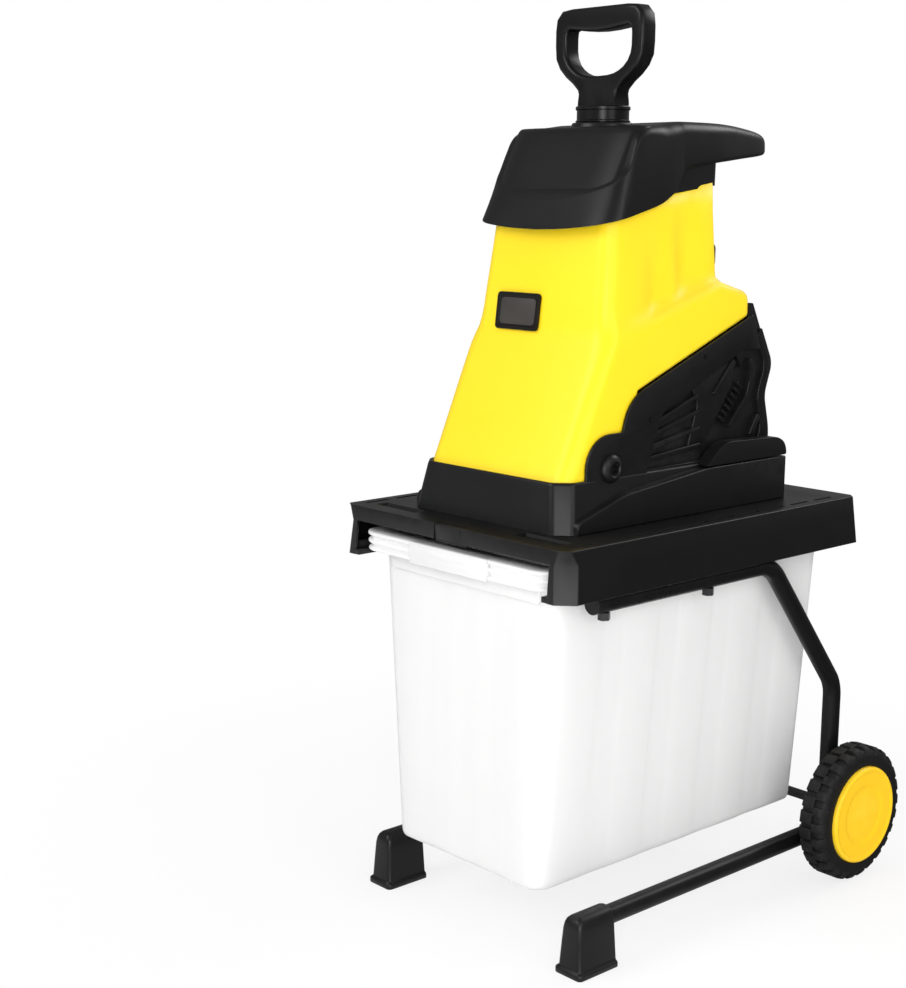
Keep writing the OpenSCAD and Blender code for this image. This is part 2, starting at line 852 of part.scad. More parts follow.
module collection_box() {
    rib_pitch = (box_top - rim_bottom - rim_rib) / (rim_ribs - 1);
    lip_half = box_half(rim_bottom - front_lip_h) - box_corner_r;
    color([0.93, 0.94, 0.95, 0.6]) difference() {
        union() {
            box_body(0, box_z, box_top);
            rim_plate(rim_out - rim_groove, rim_bottom, box_top - rim_bottom);
            for (i = [0 : rim_ribs - 1]) rim_plate(rim_out, rim_bottom + i * rib_pitch, rim_rib);
            translate([-lip_half, box_front - front_lip, rim_bottom - front_lip_h])
                cube([2 * lip_half, front_lip + box_wall / 2, front_lip_h + rim_rib]);
        }
        box_body(box_wall, box_z + box_wall, box_top + cut);
    }
}

// Base housing, its hinge bolts and the motor cover

function tub_ring(inset, share, z) = cut_rect(
    panel_x + tub_flare * (1 - share) - inset, tub_front + tub_lean * share + inset, tub_rear - inset,
    tub_corner + (tub_top_corner - tub_corner) * share, tub_corner, z);

// Side view of the panel: front of the window, band along the parting line, hinge ear
module panel_outline() {
    intersection() {
        union() {
            polygon([[hinge_y, tub_top - panel_drop], [window_front_y, tub_top - panel_drop],
                [window_top_y, window_top_z], [window_rear_y, window_rear_z], [panel_rear_y, panel_rear_z],
                [part_y1, part_z(part_y1)], [part_y0, part_z0],
                [ear_side_y + ear_lean, ear_top_z + 2 * ear_lean],
                [ear_side_y, ear_top_z], [ear_side_y - ear_lean / 2, hinge_z], [hinge_y, hinge_z]]);
            translate([hinge_y, hinge_z]) circle(r = ear_r);
        }
        translate([hinge_y - 2 * ear_r, tub_top - panel_drop]) square([deck_l, hopper_top]);
    }
}

// Side view of the shelf with its raised rear block
module shelf_outline() {
    soften(block_r) polygon([
        [deck_front + shelf_front_setback, deck_top],
        [tub_rear, deck_top],
        [tub_rear, deck_top + block_rear_h],
        [tub_rear - block_nose / 2, deck_top + block_h - block_r / 2],
        [deck_front + block_setback + block_nose, deck_top + block_h],
        [deck_front + block_setback, deck_top + shelf_back_h],
        [deck_front + shelf_rise_setback, deck_top + shelf_rise_h],
        [deck_front + shelf_front_setback, deck_top + shelf_nose_h]]);
}

module base_housing() {
    groove_y = deck_front + block_setback + block_nose;
    color(black) difference() {
        union() {
            loft([tub_ring(0, 0, deck_top), tub_ring(0, 1, tub_top)]);
            both_sides() {
                pull_x(panel_x - shell_wall, panel_x) panel_outline();
                pull_x(panel_x - cut, panel_x + shelf_out) shelf_outline();
            }
        }
        loft([tub_ring(shell_wall, -cut / tub_h, deck_top - cut),
            tub_ring(shell_wall, 1 + cut / tub_h, tub_top + cut)]);
        both_sides() {
            along_x(panel_x - 2 * shell_wall, hinge_y, hinge_z)
                cylinder(d = hinge_d + 2 * seat_gap, h = 4 * shell_wall);
            along_x(panel_x + seat_gap / 2, hinge_y, hinge_z)
                cylinder(d = hinge_head_d + 2 * move_gap, h = shelf_out);
            for (p = screw_places)
                along_x(panel_x - 2 * shell_wall, p.x, p.y)
                    cylinder(d = screw_d + 2 * seat_gap, h = 4 * shell_wall);
            translate([panel_x + shelf_out - groove_depth, groove_y, deck_top + groove_h])
                cube([groove_depth + cut, tub_rear - block_nose - groove_y, groove_w]);
        }
    }
}

// Large domed head with a hexagon socket on a plain shank
module hinge_bolts() {
    color("dimgray") both_sides() along_x(panel_x + seat_gap, hinge_y, hinge_z) difference() {
        union() {
            rotate_extrude() intersection() {
                translate([0, hinge_head_h - hinge_dome_r]) circle(r = hinge_dome_r);
                square([hinge_head_d / 2, hinge_head_h]);
            }
            translate([0, 0, -shell_wall - hinge_reach])
                cylinder(d = hinge_d, h = shell_wall + hinge_reach + cut);
        }
        translate([0, 0, hinge_head_h - hex_depth]) cylinder(d = hex_d, h = hex_depth + cut, $fn = 6);
    }
}

// Side view of the motor cover, from its front foot round the rear to the front edge
cover_tip_y = deck_front + cover_tip_setback;
cover_points = [
    [cover_front_y, deck_top + seat_gap],
    [deck_front + cover_hip_setback, deck_top + seat_gap],
    [deck_front + cover_hip_setback, deck_top + cover_hip_h],
    [deck_front + cover_waist_setback, deck_top + cover_waist_h],
    [deck_front + cover_bulge_setback, deck_top + cover_bulge_h],
    [cover_tip_y, deck_top + cover_tip_h],
    [cover_tip_y - cover_wall, deck_top + cover_tip_h],
    [cover_tip_y - cover_wall, part_z(cover_tip_y) - cover_drop],
    [cover_front_y + cover_lap, part_z(cover_front_y + cover_lap) - cover_drop],
    [cover_front_y, part_z(cover_front_y) - cover_nick]];
// Hollow of the cover: a wall inside its rear and past it at the foot, the front and the top
module cover_hollow() {
    inner = drawn_in(cover_points, cover_wall);
    tip_z = deck_top + cover_tip_h;
    polygon([
        [cover_front_y - cut, deck_top - cut],
        [inner[1].x, deck_top - cut],
        inner[2],
        inner[3],
        inner[4],
        [cover_tip_y - cover_wall, tip_z - 2 * cover_wall],
        [cover_tip_y - cover_wall, tip_z + cut],
        [cover_front_y - cut, tip_z + cut]]);
}

// Fan of long louvres that start on the window's front edge
function fin_share(i) = (i + fin_start_share) / fin_count;
function fin_tilt(i) = fin_tilt_max * i / (fin_count - 1);
module at_fin(i) {
    translate([window_front_y + (window_top_y - window_front_y) * fin_share(i) + fin_inset,
        tub_top + (window_top_z - tub_top) * fin_share(i)]) rotate(fin_tilt(i)) children();
}
module fin_bars() {
    for (i = [0 : fin_count - 1]) at_fin(i) translate([0, fin_slot / 2]) square([fin_l, fin_bar]);
}
module fin_slots() {
    for (i = [0 : fin_count - 1]) at_fin(i) translate([0, -fin_slot / 2]) square([fin_l, fin_slot]);
}
// Slanting struts behind the louvres, with short vents between them
module strut_bars() {
    for (i = [0 : strut_count - 1])
        translate([strut_y + i * strut_pitch, strut_z - i * strut_step]) rotate(strut_tilt)
            square([strut_l, strut_w]);
}
module strut_vents() {
    translate([strut_y, strut_z]) rotate(strut_tilt) for (i = [0 : vent_count - 1])
        translate([strut_w + i * vent_pitch, -vent_l - strut_w]) square([vent_w, vent_l]);
}

module motor_cover() {
    color(black) difference() {
        union() {
            difference() {
                pull_x(-cover_x, cover_x) polygon(cover_points);
                pull_x(cover_wall - cover_x, cover_x - cover_wall) cover_hollow();
            }
            both_sides() pull_x(cover_x - cut, cover_x + fin_rise) {
                fin_bars();
                strut_bars();
            }
        }
        both_sides() {
            pull_x(cover_x - cover_wall - cut, cover_x + cut) {
                fin_slots();
                strut_vents();
            }
            for (p = screw_places)
                along_x(cover_x - 2 * cover_wall, p.x, p.y)
                    cylinder(d = screw_d + 2 * seat_gap, h = 4 * cover_wall);
        }
        // Lower rear corners stand clear of the tub's rounded corners
        both_sides()
            translate([cover_x - relief_w, deck_front + cover_hip_setback - relief_l, deck_top - cut])
                cube([relief_w + cut, relief_l + cut, tub_h + move_gap + cut]);
        for (i = [0 : rear_slot_count - 1])
            translate([-rear_slot_w / 2, deck_front + cover_waist_setback - 4 * cover_wall,
                deck_top + cover_hip_h + i * rear_slot_pitch])
                cube([rear_slot_w, 8 * cover_wall, rear_slot_h]);
    }
}

module cover_screws() {
    color("dimgray") both_sides() for (p = screw_places)
        along_x(cover_x - cover_wall, p.x, p.y)
            cylinder(d = screw_d, h = panel_x - cover_x + cover_wall + screw_proud);
}

// Cutter and motor, drawn along the shaft

module chamber_plate() {
    color("gainsboro") on_shaft() difference() {
        union() {
            translate([-plate_half, -plate_l / 2, plate_z]) cube([2 * plate_half, plate_l, plate_t]);
            translate([0, 0, plate_z - cup_h]) cylinder(d = bearing_d + 2 * cup_wall, h = cup_h + cut);
            for (a = [45 : 90 : 315]) rotate(a)
                translate([stator_d / 2 - shield_leg_d / 2, 0, -stator_drop])
                    cylinder(d = shield_leg_d, h = plate_z + stator_drop + plate_t / 2);
        }
        translate([0, 0, plate_z - cup_h - cut])
            cylinder(d = bearing_d + 2 * seat_gap, h = bearing_w + seat_gap + cut);
        translate([0, 0, plate_z - cup_h - cut])
            cylinder(d = shaft_d + 2 * move_gap, h = cup_h + plate_t + 2 * cut);
    }
}
module motor_stator() {
    color("slategray") on_shaft() translate([0, 0, stator_z]) difference() {
        cylinder(d = stator_d, h = stator_l);
        translate([0, 0, -cut]) cylinder(d = armature_d + 2 * stator_bore_gap, h = stator_l + 2 * cut);
    }
}
module end_shield() {
    color("gainsboro") on_shaft() difference() {
        union() {
            translate([0, 0, shield_z]) cylinder(d = stator_d, h = end_shield_t);
            translate([0, 0, stator_z - cup_h]) cylinder(d = bearing_d + 2 * cup_wall, h = cup_h);
        }
        translate([0, 0, stator_z - bearing_w - seat_gap])
            cylinder(d = bearing_d + 2 * seat_gap, h = bearing_w + seat_gap + cut);
        translate([0, 0, stator_z - cup_h - cut])
            cylinder(d = shaft_d + 2 * move_gap, h = cup_h + 2 * cut);
    }
}
module bearing(z) {
    color("silver") on_shaft() translate([0, 0, z]) difference() {
        cylinder(d = bearing_d, h = bearing_w);
        translate([0, 0, -cut]) cylinder(d = shaft_d + 2 * run_gap, h = bearing_w + 2 * cut);
    }
}
module bearing_upper() { bearing(plate_z - cup_h); }
module bearing_lower() { bearing(stator_z - bearing_w); }

module rotor_shaft() {
    color("silver") on_shaft() difference() {
        translate([0, 0, fan_z - shaft_tail]) cylinder(d = shaft_d, h = -fan_z + shaft_tail);
        translate([0, 0, -disc_bolt_l]) cylinder(d = disc_bolt_d + 2 * seat_gap, h = disc_bolt_l + cut);
    }
}
module armature() {
    color("sienna") on_shaft() translate([0, 0, stator_z]) difference() {
        cylinder(d = armature_d, h = stator_l);
        translate([0, 0, -cut]) cylinder(d = shaft_d + 2 * seat_gap, h = stator_l + 2 * cut);
    }
}
module cooling_fan() {
    color(black) on_shaft() translate([0, 0, fan_z]) difference() {
        union() {
            cylinder(d = fan_hub_d, h = fan_t);
            cylinder(d = fan_d, h = fan_plate);
            for (i = [0 : fan_blades - 1]) rotate(360 * i / fan_blades)
                translate([fan_hub_d / 2 - cut, -fan_plate / 2, fan_plate / 2])
                    cube([fan_d / 2 - fan_hub_d / 2 - fan_plate, fan_plate, fan_t - fan_plate]);
        }
        translate([0, 0, -cut]) cylinder(d = shaft_d + 2 * seat_gap, h = fan_t + 2 * cut);
    }
}

// Places of the two knives on the disc, half a turn apart
module at_blades() {
    for (a = [0, 180]) rotate(a) translate([blade_in, blade_y - blade_w, 0]) children();
}
module at_blade_screws() {
    at_blades() for (k = [-1, 1])
        translate([blade_l / 2 + k * blade_screw_pitch / 2, blade_w / 2 - blade_bevel / 2, 0]) children();
}
module blade_disc() {
    color("silver") on_shaft() difference() {
        translate([0, 0, -disc_t]) cylinder(d = disc_d, h = disc_t);
        translate([0, 0, -disc_t - cut]) cylinder(d = shaft_d + 2 * seat_gap, h = disc_t + 2 * cut);
        at_blades() translate([0, blade_w, -disc_t - cut]) cube([blade_l, chip_slot, disc_t + 2 * cut]);
        at_blade_screws() translate([0, 0, -disc_t - cut])
            cylinder(d = blade_screw_d + 2 * seat_gap, h = disc_t + 2 * cut);
    }
}
// Knife with a long bevel along its cutting edge
module blades() {
    color("gainsboro") on_shaft() difference() {
        at_blades() rotate([90, 0, 90]) linear_extrude(height = blade_l)
            polygon([[0, 0], [blade_w, 0], [blade_w - blade_bevel, blade_t], [0, blade_t]]);
        at_blade_screws() translate([0, 0, -cut])
            cylinder(d = blade_screw_d + 2 * seat_gap, h = blade_t + 2 * cut);
    }
}
module blade_screws() {
    color("dimgray") on_shaft() at_blade_screws() {
        translate([0, 0, -disc_t]) cylinder(d = blade_screw_d, h = disc_t + blade_t + cut);
        translate([0, 0, blade_t]) cylinder(d = blade_screw_head_d, h = blade_screw_head, $fn = 6);
    }
}
module disc_bolt() {
    color("dimgray") on_shaft() {
        cylinder(d = disc_bolt_head_d, h = disc_bolt_head_h, $fn = 6);
        translate([0, 0, -disc_bolt_l + cut]) cylinder(d = disc_bolt_d, h = disc_bolt_l);
    }
}

// Hopper: a skirt lofted across the machine with a tower standing out of it

function front_at(z) = front_bottom_y + (z - hopper_bottom) * front_slope;
skirt_points = [
    [front_at(deck_top), deck_top],
    [ledge_rear_y, deck_top],
    [ledge_rear_y, ledge_rear_z - ledge_drop],
    [ledge_rear_y - ledge_round, ledge_rear_z],
    [ledge_peak_y, ledge_peak_z],
    [crease_front_y, crease_front_z],
    [kink_y, kink_z]];
// Skirt rounded along its side edges; wall draws it in
module skirt(wall) {
    r = skirt_round - wall;
    steps = 5;
    function ring(side, a) = [for (p = drawn_in(skirt_points, wall + r * (1 - sin(a))))
        [side * (skirt_x - wall - r * (1 - cos(a))), p.x, p.y]];
    loft(concat(
        [for (i = [0 : steps]) ring(-1, 90 * i / steps)],
        [for (i = [0 : steps]) ring(1, 90 - 90 * i / steps)]));
}

function tower_front(up) = kink_y - tower_step + up * tower_slope;
function tower_ring(inset, z) = let (up = max(0, z - kink_z))
    round_rect(tower_kink_x + (tower_top_x - tower_kink_x) * up / (hopper_top - kink_z) - inset,
        tower_front(up) + inset, tower_rear_y - inset, tower_r - inset, z);
module tower(inset, low, high) {
    loft([tower_ring(inset, low), tower_ring(inset, kink_z), tower_ring(inset, high)]);
}

// Side view of what stands over the parting line, with the hinge lug hanging below it
module hopper_keep() {
    polygon([
        [deck_front, hopper_bottom],
        [hinge_y, hopper_bottom],
        [hinge_y + lug_r * lug_root_share, hinge_z],
        [ear_side_y + part_gap, ear_top_z],
        [ear_side_y + ear_lean + part_gap, ear_top_z + 2 * ear_lean + part_gap],
        [part_y0, part_z0 + part_gap],
        [deck_rear, part_z(deck_rear) + part_gap],
        [deck_rear, hopper_top + cut],
        [deck_front, hopper_top + cut]]);
    translate([hinge_y, hinge_z]) circle(r = lug_r);
}

module hopper() {
    tower_foot = kink_z - 2 * tower_r;
    color(yellow) difference() {
        intersection() {
            difference() {
                union() {
                    skirt(0);
                    tower(0, tower_foot, hopper_top);
                }
                skirt(hopper_wall);
                tower(hopper_wall, tower_foot - cut, hopper_top + cut);
            }
            pull_x(-skirt_x - cut, skirt_x + cut) hopper_keep();
        }
        along_x(-skirt_x - cut, hinge_y, hinge_z)
            cylinder(d = hinge_d + 2 * run_gap, h = 2 * (skirt_x + cut));
        on_ledge() translate([0, 0, -knob_h]) cylinder(d = knob_stud_d + 2 * run_gap, h = 2 * knob_h);
    }
}

// Places children on the rear ledge under the knob, with +Z square to the ledge
module on_ledge() {
    translate([0, knob_y, knob_z]) rotate([-ledge_tilt, 0, 0]) children();
}

// Hood: an overhanging band, a dome and a broad handle to the rear

dome_foot_x = band_top_x - step_in;
dome_foot_y = rim_front + band_lean + step_in;
dome_foot_z = band_top - dome_lap;
dome_h = hopper_top + dome_rise - dome_foot_z;
function dome_ring(inset, share) = round_rect(
    dome_foot_x + (dome_top_x - dome_foot_x) * share - inset,
    dome_foot_y + (dome_front_top - dome_foot_y) * share + inset,
    hood_rear - inset, tower_r - inset, dome_foot_z + dome_h * share, dome_r - inset);
function band_ring(hx, front, z) = round_rect(hx, front, hood_rear, tower_r, z, band_r, band_steps);
function lifted(ring, z) = [for (p = ring) [p.x, p.y, z]];
function handle_ring(s) = let (low = hopper_top + s[2], high = hopper_top + s[3])
    let (r = min(handle_round, handle_round_share * (high - low)))
        [for (p = round_rect(s[1], low, high, r, deck_front + s[0])) [p.x, p.z, p.y]];

module hood() {
    hollow_share = (hopper_top - dome_foot_z) / dome_h;
    crown_h = hood_top + seat_rise - hopper_top - dome_rise;
    far = 2 * hopper_top;
    color(black) difference() {
        intersection() {
            union() {
                loft([band_ring(band_x, rim_front, hopper_top - hood_lap),
                    band_ring(band_top_x, rim_front + band_lean, band_top)]);
                loft([dome_ring(0, 0), dome_ring(0, 1), lifted(dome_ring(dome_edge, 1), hood_top)]);
                loft([for (s = handle_stations) handle_ring(s)]);
                translate([0, feed_y, hopper_top + dome_rise]) cylinder(d = seat_d, h = crown_h);
            }
            pull_x(-band_x - cut, band_x + cut) polygon(concat(
                [for (e = hood_edge) [deck_front + e.x, hopper_top + e.y]],
                [[far, hopper_top + hood_edge[5].y], [far, far], [-far, far],
                    [-far, hopper_top + hood_edge[0].y]]));
        }
        tower(-socket_gap, kink_z - cut, hopper_top);
        translate([0, 0, socket_top_gap])
            loft([tower_ring(-socket_gap, hopper_top - cut), tower_ring(-socket_gap, hopper_top)]);
        loft([dome_ring(dome_wall, hollow_share), dome_ring(dome_wall, 1),
            lifted(dome_ring(dome_wall + hood_wall, 1), hood_top - hood_wall)]);
        translate([0, feed_y, hopper_top]) cylinder(d = feed_d, h = 2 * hood_h);
    }
}

// Round chute from the hood's crown to a sloping plate over the knives
module feed_chute() {
    color("gainsboro") difference() {
        union() {
            intersection() {
                translate([0, feed_y, deck_top])
                    cylinder(d = chute_d + 2 * chute_wall, h = hood_top - hood_wall - seat_gap - deck_top);
                on_shaft() translate([-skirt_x, -deck_l, flange_z])
                    cube([2 * skirt_x, 2 * deck_l, hopper_top_h]);
            }
            on_shaft() translate([seat_gap + hopper_wall - skirt_x, -flange_front, flange_z])
                cube([2 * (skirt_x - hopper_wall - seat_gap), flange_front + flange_rear, flange_t]);
        }
        translate([0, feed_y, deck_top]) cylinder(d = chute_d, h = hopper_top_h + hood_h);
    }
}

// Bare plate on the tower's front
module badge_plate() {
    color("dimgray") translate([badge_x, tower_front(badge_up) - seat_gap, kink_z + badge_up])
        rotate([-atan(tower_slope), 0, 0]) pull_y(-badge_t, 0) soften(badge_r)
            translate([-badge_w / 2, -badge_h / 2]) square([badge_w, badge_h]);
}

// Switch box with two push buttons, and the mains inlet beside it

function switch_button_x(side) = switch_x + side * button_pitch / 2;
module switch_box() {
    face_y = tower_rear_y + seat_gap;
    bore_y = face_y + switch_t + button_proud - button_l - button_travel - move_gap;
    color(black) difference() {
        pull_x(switch_x - switch_w / 2, switch_x + switch_w / 2) polygon([
            [face_y, switch_z - switch_root_h / 2], [face_y + switch_t, switch_z - switch_h / 2],
            [face_y + switch_t, switch_z + switch_h / 2], [face_y, switch_z + switch_root_h / 2]]);
        for (side = [-1, 1])
            translate([switch_button_x(side), bore_y, switch_z]) rotate([-90, 0, 0])
                cylinder(d = button_d + 2 * move_gap, h = switch_t);
    }
}
module button(side) {
    translate([switch_button_x(side), tower_rear_y + seat_gap + switch_t + button_proud - button_l, switch_z])
        rotate([-90, 0, 0]) cylinder(d = button_d, h = button_l);
}
module on_button() { color("green") button(1); }
module off_button() { color("firebrick") button(-1); }

module power_inlet() {
    face_y = tower_rear_y + seat_gap;
    color(black) translate([inlet_x, face_y, switch_z]) {
        difference() {
            translate([-inlet_w / 2, 0, -inlet_h / 2]) cube([inlet_w, inlet_t, inlet_h]);
            translate([inlet_wall - inlet_w / 2, inlet_t - inlet_depth, inlet_wall - inlet_h / 2])
                cube([inlet_w - 2 * inlet_wall, inlet_depth + cut, inlet_h - 2 * inlet_wall]);
        }
        for (side = [-1, 1]) translate([side * pin_pitch / 2 - pin_t / 2, inlet_wall, -pin_w / 2])
            cube([pin_t, pin_l, pin_w]);
    }
}

// Lobed knob on a stud that a collar keeps in the ledge
module locking_knob() {
    color(black) on_ledge() {
        translate([0, 0, knob_lift]) cylinder(d = knob_stem_d, h = knob_h - knob_head_h);
        translate([0, 0, knob_h - knob_head_h]) linear_extrude(height = knob_head_h) {
            circle(d = knob_d - knob_lobe_d);
            for (i = [0 : knob_lobes - 1]) rotate(360 * i / knob_lobes)
                translate([knob_d / 2 - knob_lobe_d / 2, 0]) circle(d = knob_lobe_d);
        }
        translate([0, 0, -hopper_wall - move_gap - knob_collar_h]) {
            cylinder(d = knob_collar_d, h = knob_collar_h);
            translate([0, 0, cut]) cylinder(d = knob_stud_d, h = knob_collar_h + hopper_wall + move_gap);
        }
    }
}

// Plunger: a ribbed shaft with a collar, and the D grip on top of it

seat_z = hood_top + seat_rise + move_gap;
grip_z = seat_z + collar_h;
module plunger_shaft() {
    color(black) difference() {
        translate([0, feed_y, seat_z]) {
            cylinder(d = collar_d, h = collar_h);
            translate([0, 0, -plug_h]) cylinder(d = feed_d - 2 * move_gap, h = plug_h + cut);
            for (a = [0, 90]) rotate(a) translate([-plunger_d / 2, -shaft_rib / 2, -plunger_l])
                cube([plunger_d, shaft_rib, plunger_l]);
            translate([0, 0, -plunger_l]) cylinder(d = feed_d - 2 * paddle_gap, h = paddle_h);
        }
        translate([0, feed_y, grip_z - spigot_l - seat_gap])
            cylinder(d = spigot_d + 2 * seat_gap, h = spigot_l + seat_gap + cut);
    }
}

// Front view of the grip: outline with shoulders, and the opening for the hand
module grip_outline() {
    soften(grip_round) polygon(concat(
        [for (p = grip_side_shares) [p.x * grip_w / 2, p.y * grip_h]],
        [for (i = [len(grip_side_shares) - 1 : -1 : 0]) let (p = grip_side_shares[i])
            [-p.x * grip_w / 2, p.y * grip_h]]));
}
module grip_opening() {
    soften(hole_round) translate([-grip_w / 2 + grip_bar, grip_sill])
        square([grip_w - 2 * grip_bar, grip_h - grip_top_bar - grip_sill]);
}
module plunger_grip() {
    color(black) translate([0, feed_y, grip_z]) {
        // Three layers step in towards both faces, so the bars feel round to the hand
        for (s = grip_layer_shares) pull_y(-grip_t / 2 * s[0], grip_t / 2 * s[0]) difference() {
            intersection() {
                offset(delta = -s[1] * grip_edge) grip_outline();
                translate([-grip_w, 0]) square([2 * grip_w, 2 * grip_h]);
            }
            offset(delta = s[1] * grip_edge) grip_opening();
        }
        translate([0, 0, -spigot_l]) cylinder(d = spigot_d, h = spigot_l + cut);
    }
}

// Draws the named node, or all of them
side_frame_left();
side_frame_right();
foot_left();
foot_right();
axle();
axle_nuts();
axle_washers();
wheel_left();
wheel_right();
hub_cap_left();
hub_cap_right();
deck();
frame_bolts();
lock_slide();
collection_box();
base_housing();
hinge_bolts();
motor_cover();
cover_screws();
chamber_plate();
motor_stator();
end_shield();
bearing_upper();
bearing_lower();
rotor_shaft();
armature();
cooling_fan();
blade_disc();
blades();
blade_screws();
disc_bolt();
hopper();
hood();
feed_chute();
badge_plate();
switch_box();
on_button();
off_button();
power_inlet();
locking_knob();
plunger_grip();
plunger_shaft();
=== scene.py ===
# %% [markdown]
# # A leaf shredder dressed in Blender
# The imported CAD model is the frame: it holds every piece at its true size and place. This lesson
# dresses that frame. The mouldings, tubes, wheels and controls that show are rebuilt with soft edges
# and fine detail. Hidden working parts and small fasteners keep their CAD shape, and every piece gets
# a finish made of shader nodes. Pieces are drawn in millimetres, as on a drawing, and become metres
# when they are done. Only the camera, the lamps and the patterns in the finishes count in metres.

# %% Load the frame and keep its box
from math import atan, atan2, cos, pi, radians, sin, tan

import bmesh
import bpy
from mathutils import Matrix, Vector


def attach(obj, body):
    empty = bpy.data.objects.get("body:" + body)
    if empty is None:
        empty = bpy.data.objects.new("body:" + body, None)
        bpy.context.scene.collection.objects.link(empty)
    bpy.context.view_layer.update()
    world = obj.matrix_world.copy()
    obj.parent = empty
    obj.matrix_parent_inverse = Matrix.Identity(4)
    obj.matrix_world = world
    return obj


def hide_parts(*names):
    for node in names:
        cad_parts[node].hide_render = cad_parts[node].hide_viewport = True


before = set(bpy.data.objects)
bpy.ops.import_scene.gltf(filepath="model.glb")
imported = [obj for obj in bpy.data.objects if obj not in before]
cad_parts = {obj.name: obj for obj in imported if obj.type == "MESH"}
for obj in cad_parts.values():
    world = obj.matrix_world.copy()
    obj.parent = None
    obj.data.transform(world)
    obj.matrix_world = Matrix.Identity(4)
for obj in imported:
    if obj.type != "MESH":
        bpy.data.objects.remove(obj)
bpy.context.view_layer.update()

# %% [markdown]
# The camera looks from where the photograph was taken: at the height of the hood, to the front and
# right, and slightly down. The place was found from the straight edges of the deck, the box and the
# side frames. A small upward shift sets the framing without turning the camera.

# %% Camera
CAMERA_PLACE = (1.3328, -1.4709, 0.8402)
TURN, DIP, ROLL = 48.24, 11.48, 0.23
scene = bpy.context.scene
camera = bpy.data.objects.new("camera", bpy.data.cameras.new("camera"))
scene.collection.objects.link(camera)
camera.data.lens = 60.57
camera.data.shift_y = 0.0358
camera.matrix_world = (Matrix.Translation(CAMERA_PLACE)
    @ Matrix.Rotation(radians(TURN), 4, "Z")
    @ Matrix.Rotation(radians(90 - DIP), 4, "X")
    @ Matrix.Rotation(radians(ROLL), 4, "Z"))
scene.camera = camera
scene.view_settings.view_transform = "Standard"
print("camera at", tuple(round(c, 3) for c in camera.location))

# %% [markdown]
# A material is a small network of shader nodes. It could be wired by hand in the node editor, but a
# script repeats the wiring without slips, so short helpers do it. A socket is fed by its name, with _
# for a space, or by its number as i0, i1 and so on. A feed is a number, a colour or a node's output.

# %% Node helpers
def feed(tree, node, **feeds):
    """Sets or links the node's sockets."""
    for name, value in feeds.items():
        numbered = name[0] == "i" and name[1:].isdigit()
        key = int(name[1:]) if numbered else name.replace("_", " ")
        if isinstance(value, bpy.types.NodeSocket):
            tree.links.new(value, node.inputs[key])
        else:
            node.inputs[key].default_value = value
    return node


def place(tree, kind, settings=None, **feeds):
    """Adds a node with its settings and feeds."""
    node = tree.nodes.new(kind)
    for name, value in (settings or {}).items():
        setattr(node, name, value)
    return feed(tree, node, **feeds)


def new_finish(name):
    """A new material: itself, its tree, its main shader and the place on the piece."""
    finish = bpy.data.materials.new(name)
    finish.use_nodes = True
    tree = finish.node_tree
    place_of = place(tree, "ShaderNodeTexCoord").outputs["Object"]
    return finish, tree, tree.nodes["Principled BSDF"], place_of


def new_group(name, inputs, outputs):
    """A new node group: its tree, its input node and its output node."""
    tree = bpy.data.node_groups.new(name, "ShaderNodeTree")
    for label, kind, value in inputs:
        socket = tree.interface.new_socket(label, in_out="INPUT", socket_type=kind)
        socket.default_value = value
    for label, kind in outputs:
        tree.interface.new_socket(label, in_out="OUTPUT", socket_type=kind)
    return tree, tree.nodes.new("NodeGroupInput"), tree.nodes.new("NodeGroupOutput")


def use_group(tree, group, **feeds):
    return place(tree, "ShaderNodeGroup", {"node_tree": group}, **feeds)

print("node helpers ready")

# %% [markdown]
# Five small building blocks come back in every finish: a cloud of noise, a stretch along one axis, a
# range laid onto another range, a blend of two colours, and a bump. Each is one node with a plain name.

# %% Building blocks of a finish
def noise(tree, where, scale, detail, roughness=0.5):
    """A cloud between 0 and 1, with about scale lumps to the metre."""
    return place(tree, "ShaderNodeTexNoise", Vector=where, Scale=scale, Detail=detail,
        Roughness=roughness).outputs["Fac"]


def stretched(tree, where, scale):
    return place(tree, "ShaderNodeMapping", Vector=where, Scale=scale).outputs["Vector"]


def spread(tree, value, low, high, to_low=0.0, to_high=1.0):
    """Lays the range from low to high onto another range and stops at its ends."""
    return place(tree, "ShaderNodeMapRange", Value=value, i1=low, i2=high, i3=to_low,
        i4=to_high).outputs["Result"]


def times(tree, a, b):
    return place(tree, "ShaderNodeMath", {"operation": "MULTIPLY"}, i0=a, i1=b).outputs[0]


def blend(tree, share, a, b):
    """Colour a where the share is 0 and colour b where it is 1."""
    return place(tree, "ShaderNodeMix", {"data_type": "RGBA"}, i0=share, i6=a, i7=b).outputs[2]


def bumped(tree, height, strength, depth):
    """A bump whose depth is given in millimetres."""
    return place(tree, "ShaderNodeBump", Height=height, Strength=strength,
        Distance=depth / 1000).outputs["Normal"]

print("building blocks ready")

# %% [markdown]
# Moulded plastic is never quite smooth. The tool that forms it is spark eroded or blasted, so the
# skin has a fine pebble, and the gloss drifts a little from place to place where the melt cooled
# at different speeds. One group gives both: a height for a bump and a slow cloud for the gloss.

# %% Mould skin group
FLOAT, VECTOR = "NodeSocketFloat", "NodeSocketVector"
mould_skin, skin_in, skin_out = new_group("mould_skin",
    [("Place", VECTOR, (0, 0, 0)), ("Grain", FLOAT, 900), ("Drift", FLOAT, 9)],
    [("Height", FLOAT), ("Cloud", FLOAT)])
skin_place = skin_in.outputs["Place"]
pebble = noise(mould_skin, skin_place, skin_in.outputs["Grain"], detail=2.0, roughness=0.55)
slow = noise(mould_skin, skin_place, skin_in.outputs["Drift"], detail=4.0, roughness=0.6)
feed(mould_skin, skin_out, Height=pebble, Cloud=slow)
print("group", mould_skin.name, "with", len(mould_skin.nodes), "nodes")

